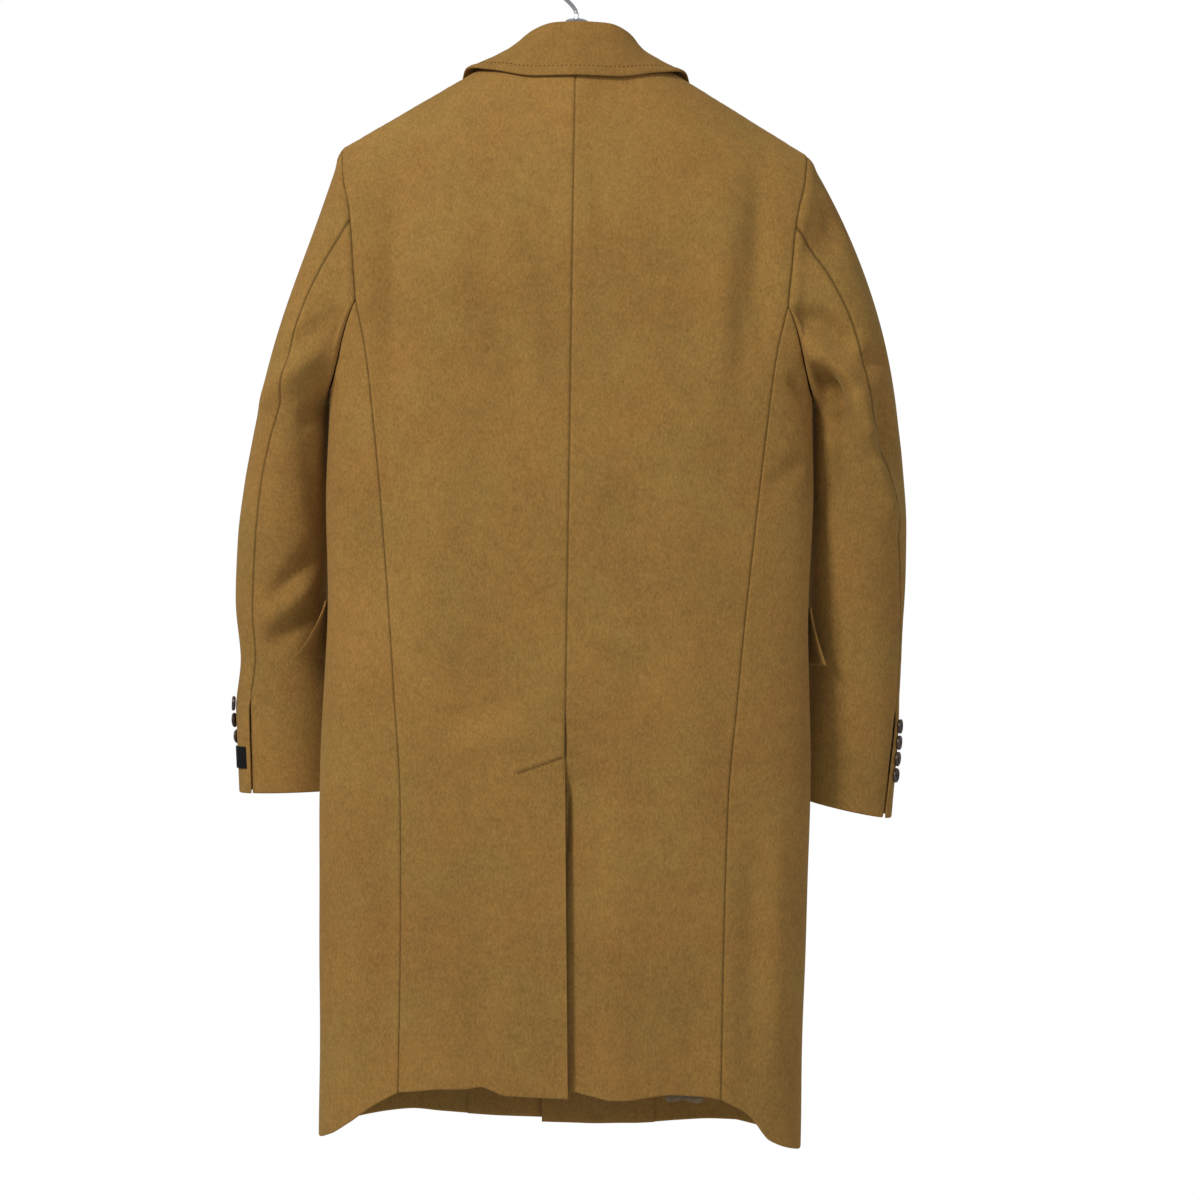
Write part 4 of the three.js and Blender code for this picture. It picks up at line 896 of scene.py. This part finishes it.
def collar_middle(stations):
    """The middle of the collar's cloth, one section for each station: a straight stand, a half circle
    over the roll and a fall laid clear of the shoulders."""
    at = np.abs(stations)
    value = {name: along(COLLAR, name, at, "at") for name in COLLAR}
    neck = neck_points(at)
    roll = np.stack([value["rollX"], value["rollY"], -HOOK_DROP - value["rollDrop"]], -1)
    edge = np.stack([value["edgeX"], value["edgeY"], -HOOK_DROP - value["edgeDrop"]], -1)
    outward = unit((edge - roll) * np.array([1, 1, 0]))
    base = neck - outward * lerp(1.7, 2.4, smooth(at - 4))[:, None] + np.array([0, 0, 0.9])
    share = smooth((at - 4) / 2)[:, None]
    bulge = unit(lerp(np.array([0, 0, 1.0]), unit(body_slopes(roll)), share))
    centre = roll - bulge * COLLAR_ROLL_RADIUS
    turn = np.linspace(0, np.pi, 15)[None, :, None]
    round_roll = bulge[:, None] * np.sin(turn) - outward[:, None] * np.cos(turn)
    arc = centre[:, None] + COLLAR_ROLL_RADIUS * round_roll
    stand_part = np.linspace(0, 1, 12)[None, :-1, None]
    stand = lerp(base[:, None], arc[:, :1], stand_part)
    fall_share = fine_shares(60, 2.2, first=False)[None, 1:, None]
    fall = lerp(arc[:, -1:], edge[:, None], fall_share)
    tent = np.where(fall_share < GORGE_SHARE, fall_share / GORGE_SHARE, (1 - fall_share) / (1 - GORGE_SHARE))
    fall = fall - np.array([0, 0, 1]) * tent * value["gorge"][:, None, None]
    lift = (1.0 + 3.2 * np.exp(-((at - 2.9) / 0.7) ** 2))[:, None] * fall_share[..., 0] ** 2
    fall = clear_of_body(fall, 1.2 + lerp(0.4, 1.1, smooth(fall_share[..., 0] * 6)) + lift)
    section = np.concatenate([stand, arc, fall], 1)
    section[..., 0] *= np.where(stations < 0, -1, 1)[:, None]
    section[..., 0] -= COLLAR_LEAN * np.maximum(section[..., 2] + HOOK_DROP - LEAN_START, 0)
    return section


def collar_object():
    """Collar: offsets of half the cloth on both sides of its middle surface, with a stitched line a
    finger's breadth from the free edge."""
    stations = lerp(-7, 7, fine_shares(420, 2.6))
    middle = collar_middle(stations)
    for _ in range(3):
        middle[1:-1, 1:-1] = (
            middle[1:-1, 1:-1] * 2 + middle[:-2, 1:-1] + middle[2:, 1:-1]
            + middle[1:-1, :-2] + middle[1:-1, 2:]
        ) / 6
    normals = grid_normals(middle)
    distances = edge_distances(middle)
    outer_shift, inner_shift = edge_shape(middle, [], ["last", "top", "bottom"], CLOTH)
    sign = np.sign((normals[len(stations) // 2, -1] * np.array([0, 1, 0])).sum())
    line = np.exp(-((distances["last"] - COLLAR_STITCH_IN) / 1.5) ** 2)
    line = line - 0.7 * np.exp(-((distances["last"] - 5) / 3) ** 2)
    ease = 0.5 * np.sin(distances["top"] / 23) * smooth((distances["first"] - 40) / 20)
    outer = middle + normals * sign * (1.2 + outer_shift - 0.55 * line + ease)[..., None]
    inner = middle + normals * sign * (-1.2 + inner_shift + ease)[..., None]
    result = mesh_from_grids("collar_cloth", outer, inner, ("collar_wool",))
    declare_cloth(result, "collar")
    places = [
        [np.interp(COLLAR_STITCH_IN, near[::-1], row[::-1, k]) for k in range(3)]
        for near, row in zip(distances["last"][8:-8], outer[8:-8])
    ]
    facing = normals[8:-8, -5] * sign
    stitches("collar_stitches", np.array(places), facing, COLLAR_STITCH_PITCH, 1.9, 0.5)
    return result


def armhole_loop(side, per_segment):
    """Angles and drops of the armhole, from the elbow seam over the shoulder and round under the arm."""
    def edge_place(piece, row):
        drop = row_drop(side, piece, np.ones_like(row), row)
        return piece_edges(side, piece, drop)[1], drop

    def steps(start, stop):
        count = int(abs(stop - start) * per_segment)
        return np.linspace(start, stop, count, endpoint=False)

    over_back = edge_place("back", steps(ELBOW_ROW, 0))
    down_front = edge_place("front", steps(0, UPPER_ROWS))
    share = steps(SIDE_COLUMNS, 0) / SIDE_COLUMNS
    under_drop = row_drop(side, "side", share, np.full_like(share, UPPER_ROWS))
    first, last = piece_edges(side, "side", under_drop)
    under = (lerp(first, last, share), under_drop)
    up_back = edge_place("back", steps(UPPER_ROWS, ELBOW_ROW))
    return [np.concatenate(parts) for parts in zip(over_back, down_front, under, up_back)]


def around_sleeve(side, column, drop):
    """Degrees round the sleeve of each column: 0 behind, 90 outside, 270 at the body."""
    elbow = along(SLEEVES[side]["sections"], "elbow", drop)
    upper = 2 * ELBOW_ROW
    total = 2 * UPPER_ROWS + SIDE_COLUMNS
    over = lerp(elbow, FOREARM_SEAM, column / upper)
    under = lerp(FOREARM_SEAM, 360 + elbow, (column - upper) / (total - upper))
    return np.where(column <= upper, over, under)


def sleeve_points(side, around, drop):
    """Turned ellipses, one at each drop, with their centres on the arm's line."""
    sections = SLEEVES[side]["sections"]
    value = {name: along(sections, name, drop) for name in ("x", "y", "across", "deep", "turn")}
    across = value["across"] * np.sin(np.radians(around))
    deep = value["deep"] * np.cos(np.radians(around))
    turn = np.radians(value["turn"])
    x = value["x"] + across * np.cos(turn) + deep * np.sin(turn)
    y = value["y"] - across * np.sin(turn) + deep * np.cos(turn)
    return np.stack(np.broadcast_arrays(x, y, -HOOK_DROP - drop), -1)


def sleeve_relief(side, around, drop):
    """The sleeve's folds, on its surface unrolled at one radius."""
    total = np.zeros(np.broadcast(around, drop).shape)
    for i in np.flatnonzero(SLEEVE_FOLDS["side"] == side):
        fold = {name: column[i] for name, column in SLEEVE_FOLDS.items()}
        sideways = np.radians((around - fold["around"] + 540) % 360 - 180) * SLEEVE_RADIUS
        reach = np.radians(fold["toAround"] - fold["around"]) * SLEEVE_RADIUS
        total += fold_height(SLEEVE_FOLDS, i, sideways, drop, (0, fold["drop"]), (reach, fold["toDrop"]))
    return total


def sleeve_grid(side, per_segment=6):
    """The whole sleeve: cubic curves from the armhole to the upper arm, then the arm's sections."""
    shape = SLEEVES[side]
    sections = shape["sections"]
    cap_drop = sections["drop"][0]
    angle, drop = armhole_loop(side, per_segment)
    start, start_normals = leftward(side, angle, drop, 0)
    column = np.arange(len(angle)) / per_segment
    around_cap = around_sleeve(side, column, cap_drop)
    end = sleeve_points(side, around_cap, cap_drop)
    length = np.linalg.norm(end - start, axis=1, keepdims=True)
    top = np.maximum(np.sin(np.radians(around_cap)), 0)[:, None]
    leave = (unit(end - start) + np.array([1, 0, 0]) * lerp(UNDERARM_SPREAD, shape["crown"], top)) * length
    arrive = unit(sleeve_points(side, around_cap, cap_drop + 20) - end) * length
    part = np.concatenate([EDGE_STEPS / 260, np.linspace(0.035, 1, 50)])[:, None, None]
    cap = (
        start * (1 + 2 * part) * (1 - part) ** 2
        + leave * part * (1 - part) ** 2
        + end * part ** 2 * (3 - 2 * part)
        - arrive * part ** 2 * (1 - part)
    )
    down = fine_shares(395, 4.2, first=False)[1:, None]
    around = around_sleeve(side, column[None], lerp(cap_drop, shape["cuff_out"], down))
    cuff = lerp(shape["cuff_in"], shape["cuff_out"], 0.5 + 0.5 * np.sin(np.radians(around)))
    arm = sleeve_points(side, around, lerp(cap_drop, cuff, down))
    plain = np.concatenate([cap, arm])
    all_around = np.concatenate([np.broadcast_to(around_cap, cap.shape[:2]), around])
    rise = sleeve_relief(side, all_around, -HOOK_DROP - plain[..., 2])
    rise *= smooth(edge_distances(plain)["top"] / 20)
    points = plain + grid_normals(plain, True) * rise[..., None]
    normals = grid_normals(points, True)
    bend = normals[0, :, 0] - start_normals[:, 0]
    blend = smooth((bend + 0.15) / 0.3)[:, None]
    normals[0] = unit(lerp(normals[0], start_normals, blend))
    points[0] += unit(points[1] - points[0]) * 0.1
    return points, normals, column


def sleeve_objects(side):
    """Upper and under sleeve, cut from the whole sleeve at its two seams."""
    sizes = bpy.context.scene.overcoat_sizes
    cloth = sizes.cloth / MM
    points, normals, column = sleeve_grid(side)
    count = len(column)
    upper_end = 2 * ELBOW_ROW * 6
    made = []
    for piece, start, stop in (("upper_sleeve_", 0, upper_end), ("under_sleeve_", upper_end, count)):
        take = np.arange(start, stop + 1) % count
        part, facing = points[:, take], normals[:, take]
        distances = edge_distances(part)
        drop = -HOOK_DROP - part[..., 2]
        elbow = "first" if piece == "upper_sleeve_" else "last"
        seams = ["first", "last", "top"]
        outer_shift, inner_shift = edge_shape(part, seams, ["bottom"], cloth, sizes.seam_depth / MM)
        rope = 1.4 * np.exp(-((distances["top"] - 9) / 6) ** 2)
        vent = smooth((drop - SLEEVE_VENT_DROP) / 25) * np.exp(-distances[elbow] / 8)
        lift = rope + vent * (1.6 if elbow == "first" else -2.0)
        outer, inner = faces_at(side, part, facing, outer_shift + lift, inner_shift + lift - cloth)
        name = piece + SIDE_NAME[side]
        lined = distances["bottom"] > HEM_TURN
        # Painted shade along the seams, none at the cuff vent.
        shade = seam_shade(part, seams) * (1 - smooth((drop - SLEEVE_VENT_DROP) / 8))
        finishes = ("brushed_wool", "lining_twill")
        result = mesh_from_grids(name + "_cloth", outer, inner, finishes, lined, shade)
        declare_cloth(result, name)
        made.append(result)
    return made


def flap_object(side):
    """Pocket flap: laid on the side body and the front, lifting away at its rear lower corner."""
    side_shares = np.linspace(0.5, 1, 60)
    front_shares = np.linspace(1, 5 / 11, 60)[1:]
    down = fine_shares(FLAP_HEIGHT, 2.5)
    drop = FLAP_DROP + FLAP_HEIGHT * down[:, None]
    side_edges = piece_edges(side, "side", drop)
    front_edges = piece_edges(side, "front", drop)
    angle = np.concatenate([
        lerp(side_edges[0], side_edges[1], side_shares), lerp(front_edges[0], front_edges[1], front_shares),
    ], 1)
    place = np.concatenate([(side_shares - 0.5) * SIDE_COLUMNS, 3 + (1 - front_shares) * 11])
    lift = FLAP_FLARE[side] * np.exp(-place / 0.9) * down[:, None] ** 1.3 + 1.5 * down[:, None]
    points, normals = leftward(side, angle, drop + 0 * angle, LAYER_GAP + 0.2 + lift)
    outer_shift, inner_shift = edge_shape(points, [], ["first", "last", "bottom"], CLOTH)
    outer, inner = faces_at(side, points, normals, outer_shift + CLOTH, inner_shift)
    name = "pocket_flap_" + SIDE_NAME[side]
    result = mesh_from_grids(name + "_cloth", outer, inner)
    declare_cloth(result, name)
    return result


# Buttons and sewing

def button_surface(radius, thickness):
    """A dished disc turned from its profile, with four thread holes sunk as bell shapes."""
    profile = np.array([
        (0, 0.62), (0.25, 0.62), (0.5, 0.64), (0.6, 0.7), (0.7, 0.92), (0.78, 1.0), (0.86, 1.0), (0.94, 0.9),
        (1.0, 0.62), (0.99, 0.42), (0.92, 0.2), (0.8, 0.04), (0.5, 0.0), (0, 0.0),
    ])
    run = np.linspace(0, len(profile) - 1, 70)
    reach = np.interp(run, np.arange(len(profile)), profile[:, 0]) * radius
    height = np.interp(run, np.arange(len(profile)), profile[:, 1]) * thickness
    turn = np.linspace(0, 2 * np.pi, 64, endpoint=False)
    x = reach[:, None] * np.cos(turn)
    y = reach[:, None] * np.sin(turn)
    z = height[:, None] + 0 * x
    hole = radius * 0.2
    depth = sum(
        np.exp(-(((x - sx * hole) ** 2 + (y - sy * hole) ** 2) / (radius * 0.085) ** 2) ** 2)
        for sx in (-1, 1) for sy in (-1, 1)
    )
    z = np.where((run < 5)[:, None], z - thickness * 0.45 * depth, z)
    return np.stack([x, y, z], -1)


def disc_mesh(name, surfaces):
    """One object of one or more turned surfaces, each a grid closed round its axis."""
    vertices, faces, offset = [], [], 0
    for grid in surfaces:
        rows, columns = grid.shape[:2]
        index = offset + np.arange(rows * columns).reshape(rows, columns)
        right = np.roll(index, -1, 1)
        faces.append(np.stack([index[:-1], index[1:], right[1:], right[:-1]], -1).reshape(-1, 4))
        vertices.append(grid.reshape(-1, 3))
        offset += rows * columns
    return mesh_object(name, np.concatenate(vertices) * MM, np.concatenate(faces))


def turn_to(normal):
    """Rows of a turn that takes +Z to a normal."""
    z = unit(np.asarray(normal, float))
    x = unit(np.cross([0, 0, 1.0], z)) if abs(z[2]) < 0.99 else np.array([1.0, 0, 0])
    return np.stack([x, np.cross(z, x), z])


def thread_strands(radius, thickness):
    """Two crossed bars of thread over the holes, as bent tubes."""
    strands = []
    for sign in (1, -1):
        t = np.linspace(-1, 1, 15)[:, None]
        turn = np.linspace(0, 2 * np.pi, 8, endpoint=False)[None]
        thick = radius * 0.055
        reach = radius * 0.2
        height = thickness * (0.72 - 0.35 * t[:, 0] ** 6)
        centre = np.stack([t[:, 0] * reach, sign * t[:, 0] * reach, height], -1)
        sideways = unit(np.array([[1.0, -sign, 0]]))
        ring = sideways[:, None] * np.cos(turn)[..., None] + np.array([0, 0, 1.0]) * np.sin(turn)[..., None]
        strands.append(centre[:, None] + ring * thick * np.sqrt(np.maximum(1.0001 - t ** 8, 0))[..., None])
    return strands


def sewn_button(name, node, point, normal, size):
    """A button and its thread on a point of the cloth."""
    radius, thickness = size
    frame_rows = turn_to(normal)
    seat = point + normal * LAYER_GAP
    body = disc_mesh(name + "_horn", [button_surface(radius, thickness) @ frame_rows + seat])
    finish_piece(body, node, "button", materials()["polished_horn"])
    strands = [strand @ frame_rows + seat for strand in thread_strands(radius, thickness)]
    thread = disc_mesh(name + "_thread", strands)
    finish_piece(thread, None, "button", materials()["button_thread"])


def sleeve_place(side, around, drop):
    """A point of the sleeve away from its folds, with its outward normal."""
    drop = np.asarray(drop, float)
    point = sleeve_points(side, around, drop)
    across = sleeve_points(side, around + 1, drop) - point
    down = sleeve_points(side, around, drop + 1) - point
    return mirrored(side, point, unit(np.cross(across, down)))


def stitches(name, path, normals, pitch, length, radius):
    """Stitches along a path on the cloth: short rounded rods, half sunk, at an even pitch. The thread is
    real, but its near-black colour is painted shade of the dimples that the stitches sink into the cloth.
    """
    run = np.concatenate([[0], np.cumsum(np.linalg.norm(np.diff(path, axis=0), axis=1))])
    places = np.arange(pitch, run[-1] - pitch, pitch)
    centre = np.stack([np.interp(places, run, path[:, k]) for k in range(3)], -1)
    ahead = np.stack([np.interp(places + 1, run, path[:, k]) for k in range(3)], -1)
    up = unit(np.stack([np.interp(places, run, normals[:, k]) for k in range(3)], -1))
    heading = unit(ahead - centre)
    sideways = np.cross(up, heading)
    t = np.linspace(-1, 1, 9)
    turn = np.linspace(0, 2 * np.pi, 8, endpoint=False)
    thick = radius * np.sqrt(np.maximum(1.001 - t ** 4, 0))
    rods = (
        centre[:, None, None] - 0.1 * up[:, None, None]
        + heading[:, None, None] * (t * length / 2)[None, :, None, None]
        + (sideways[:, None, None] * np.cos(turn)[None, None, :, None]
           + up[:, None, None] * np.sin(turn)[None, None, :, None]) * thick[None, :, None, None]
    )
    thread = disc_mesh(name, list(rods))
    finish_piece(thread, None, "wool", materials()["dark_thread"])
    return thread


# Add-on classes

class OvercoatSizes(bpy.types.PropertyGroup):
    cloth: bpy.props.FloatProperty(
        name="Cloth", description="Thickness of the overcoating", default=0.0024, min=0.001, unit="LENGTH")
    grid: bpy.props.FloatProperty(
        name="Grid", description="Spacing of the cloth's surface points", default=0.004, min=0.002,
        unit="LENGTH")
    seam_depth: bpy.props.FloatProperty(
        name="Seam depth", description="How far a seam sinks into the cloth", default=0.001, min=0.0,
        unit="LENGTH")
    floor_depth: bpy.props.FloatProperty(
        name="Floor", description="Depth of the floor below the rail", default=1.8, min=1.2, unit="LENGTH")
    ambient: bpy.props.FloatProperty(
        name="Ambient light", description="Strength of the light from all round", default=0.34, min=0.0)


class OvercoatColours(bpy.types.PropertyGroup):
    wool: bpy.props.FloatVectorProperty(
        name="Wool", description="Colour of the overcoating", subtype="COLOR", size=3,
        default=(0.314, 0.18, 0.047))
    facing: bpy.props.FloatVectorProperty(
        name="Facing", description="Colour of the facing", subtype="COLOR", size=3,
        default=(0.31, 0.175, 0.049))
    lining: bpy.props.FloatVectorProperty(
        name="Lining", description="Colour of the lining", subtype="COLOR", size=3,
        default=(0.12, 0.075, 0.03))
    button: bpy.props.FloatVectorProperty(
        name="Buttons", description="Colour of the horn", subtype="COLOR", size=3,
        default=(0.05, 0.032, 0.022))
    label: bpy.props.FloatVectorProperty(
        name="Label", description="Colour of the cuff label", subtype="COLOR", size=3,
        default=(0.004, 0.004, 0.0045))
    wood: bpy.props.FloatVectorProperty(
        name="Wood", description="Colour of the hanger", subtype="COLOR", size=3,
        default=(0.3, 0.15, 0.055))
    metal: bpy.props.FloatVectorProperty(
        name="Metal", description="Colour of the hook", subtype="COLOR", size=3,
        default=(0.62, 0.62, 0.64))


class OVERCOAT_OT_panels(bpy.types.Operator):
    """Make the backs, side bodies and fronts"""
    bl_idname = "overcoat.panels"
    bl_label = "Body panels"

    def execute(self, context):
        for side in (1, -1):
            for piece in ("back", "side", "front"):
                panel_object(side, piece)
        return {"FINISHED"}


class OVERCOAT_OT_inner(bpy.types.Operator):
    """Make the facings and the strip of lining"""
    bl_idname = "overcoat.inner"
    bl_label = "Facings and lining"

    def execute(self, context):
        for side in (1, -1):
            facing_object(side)
        lining_object()
        return {"FINISHED"}


class OVERCOAT_OT_collar(bpy.types.Operator):
    """Make the collar and the lapels"""
    bl_idname = "overcoat.collar"
    bl_label = "Collar and lapels"

    def execute(self, context):
        collar_object()
        for side in (1, -1):
            lapel_object(side)
        return {"FINISHED"}


class OVERCOAT_OT_sleeves(bpy.types.Operator):
    """Make the two-piece sleeves"""
    bl_idname = "overcoat.sleeves"
    bl_label = "Sleeves"

    def execute(self, context):
        for side in (1, -1):
            sleeve_objects(side)
        return {"FINISHED"}


class OVERCOAT_OT_flaps(bpy.types.Operator):
    """Make the pocket flaps"""
    bl_idname = "overcoat.flaps"
    bl_label = "Pocket flaps"

    def execute(self, context):
        for side in (1, -1):
            flap_object(side)
        return {"FINISHED"}


class OVERCOAT_OT_buttons(bpy.types.Operator):
    """Make the buttons and their thread"""
    bl_idname = "overcoat.buttons"
    bl_label = "Buttons"

    def execute(self, context):
        for i, drop in enumerate(BUTTON_DROPS):
            point, normal = leftward(1, np.array(np.pi), np.array(drop), 0)
            name = "front_button_" + str(i + 1)
            sewn_button(name, name, point, normal, FRONT_BUTTON)
        for side in (1, -1):
            first, pitch, around, drift = CUFF_BUTTONS[side]
            for i in range(4):
                point, normal = sleeve_place(side, around + drift * i, first + pitch * i)
                name = "cuff_button_" + SIDE_NAME[side] + "_" + str(i + 1)
                sewn_button(name, name, point, normal, CUFF_BUTTON)
        return {"FINISHED"}


class OVERCOAT_OT_hanger(bpy.types.Operator):
    """Give the hanger its wood and metal"""
    bl_idname = "overcoat.hanger"
    bl_label = "Hanger"

    def execute(self, context):
        for node, finish in (
            ("hanger_bar", "varnished_beech"), ("hanger_ferrule", "plated_steel"),
            ("hanger_hook", "plated_steel"), ("sleeve_label", "label_satin"),
        ):
            thing = bpy.data.objects[node]
            thing.data.materials.clear()
            thing.data.materials.append(materials()[finish])
        return {"FINISHED"}


def add_light(name, place, target, size, power, colour):
    light = bpy.data.lights.new(name, "AREA")
    light.shape = "RECTANGLE"
    light.size, light.size_y = size
    light.energy = power
    light.color = colour
    lamp = bpy.data.objects.new(name, light)
    bpy.context.scene.collection.objects.link(lamp)
    back = unit(np.array(place, float) - np.array(target, float))
    right = unit(np.cross([0, 0, 1.0], back))
    up = np.cross(back, right)
    matrix = np.eye(4)
    matrix[:3, 0], matrix[:3, 1], matrix[:3, 2], matrix[:3, 3] = right, up, back, place
    lamp.matrix_world = Matrix(matrix)
    return lamp


class OVERCOAT_OT_stage(bpy.types.Operator):
    """Make the floor, the lights and the camera"""
    bl_idname = "overcoat.stage"
    bl_label = "Stage"

    def execute(self, context):
        scene = context.scene
        floor_level = -scene.overcoat_sizes.floor_depth
        turn = np.linspace(0, 2 * np.pi, 96, endpoint=False)
        reach = np.linspace(0.001, 1.6, 30)[:, None]
        grid = np.stack([reach * np.cos(turn), reach * np.sin(turn), floor_level + 0 * reach * turn], -1)
        floor = disc_mesh("floor", [grid / MM])
        floor.data.materials.append(pale_floor_material("pale_floor"))
        world = bpy.data.worlds.new("studio")
        scene.world = world
        world.use_nodes = True
        tree = world.node_tree
        ambient = tree.nodes["Background"]
        ambient.inputs["Color"].default_value = (0.96, 0.98, 1.0, 1)
        ambient.inputs["Strength"].default_value = scene.overcoat_sizes.ambient
        backdrop = tree.nodes.new("ShaderNodeBackground")
        backdrop.inputs["Color"].default_value = (1, 1, 1, 1)
        seen = tree.nodes.new("ShaderNodeLightPath")
        mix = tree.nodes.new("ShaderNodeMixShader")
        tree.links.new(seen.outputs["Is Camera Ray"], mix.inputs[0])
        tree.links.new(ambient.outputs[0], mix.inputs[1])
        tree.links.new(backdrop.outputs[0], mix.inputs[2])
        tree.links.new(mix.outputs[0], tree.nodes["World Output"].inputs["Surface"])
        centre = (0, 0, -0.55)
        add_light("key", (1.6, 1.7, 0.95), centre, (0.6, 0.6), 47, (1.0, 0.98, 0.95))
        add_light("fill", (-1.6, 2.3, 0.1), centre, (1.6, 1.6), 11, (1.0, 1.0, 1.0))
        camera_data = bpy.data.cameras.new("camera")
        camera_data.sensor_width = 36
        camera_data.lens = 66
        camera = bpy.data.objects.new("camera", camera_data)
        scene.collection.objects.link(camera)
        roll = 0.015
        right = unit(np.array([-1, 0, roll]))
        up = unit(np.array([roll, 0, 1]))
        matrix = np.eye(4)
        matrix[:3, 0], matrix[:3, 1], matrix[:3, 2] = right, up, (0, 1, 0)
        matrix[:3, 3] = (-0.032, 2.2, -0.64)
        camera.matrix_world = Matrix(matrix)
        scene.camera = camera
        scene.view_settings.view_transform = "Standard"
        return {"FINISHED"}


OPERATORS = (
    OVERCOAT_OT_panels, OVERCOAT_OT_inner, OVERCOAT_OT_collar, OVERCOAT_OT_sleeves, OVERCOAT_OT_flaps,
    OVERCOAT_OT_buttons, OVERCOAT_OT_hanger, OVERCOAT_OT_stage,
)


class OVERCOAT_PT_panel(bpy.types.Panel):
    bl_label = "Overcoat"
    bl_idname = "OVERCOAT_PT_panel"
    bl_space_type = "VIEW_3D"
    bl_region_type = "UI"
    bl_category = "Overcoat"

    def draw(self, context):
        for group in (context.scene.overcoat_sizes, context.scene.overcoat_colours):
            for name in group.__annotations__:
                self.layout.prop(group, name)
        for operator in OPERATORS:
            self.layout.operator(operator.bl_idname)


CLASSES = (OvercoatSizes, OvercoatColours, *OPERATORS, OVERCOAT_PT_panel)


def register():
    for cls in CLASSES:
        bpy.utils.register_class(cls)
    bpy.types.Scene.overcoat_sizes = bpy.props.PointerProperty(type=OvercoatSizes)
    bpy.types.Scene.overcoat_colours = bpy.props.PointerProperty(type=OvercoatColours)


def unregister():
    del bpy.types.Scene.overcoat_colours
    del bpy.types.Scene.overcoat_sizes
    for cls in reversed(CLASSES):
        bpy.utils.unregister_class(cls)


def main():
    register()
    bpy.ops.overcoat.panels()
    bpy.ops.overcoat.inner()
    bpy.ops.overcoat.collar()
    bpy.ops.overcoat.sleeves()
    bpy.ops.overcoat.flaps()
    bpy.ops.overcoat.buttons()
    bpy.ops.overcoat.hanger()
    bpy.ops.overcoat.stage()


if __name__ == "__main__":
    main()
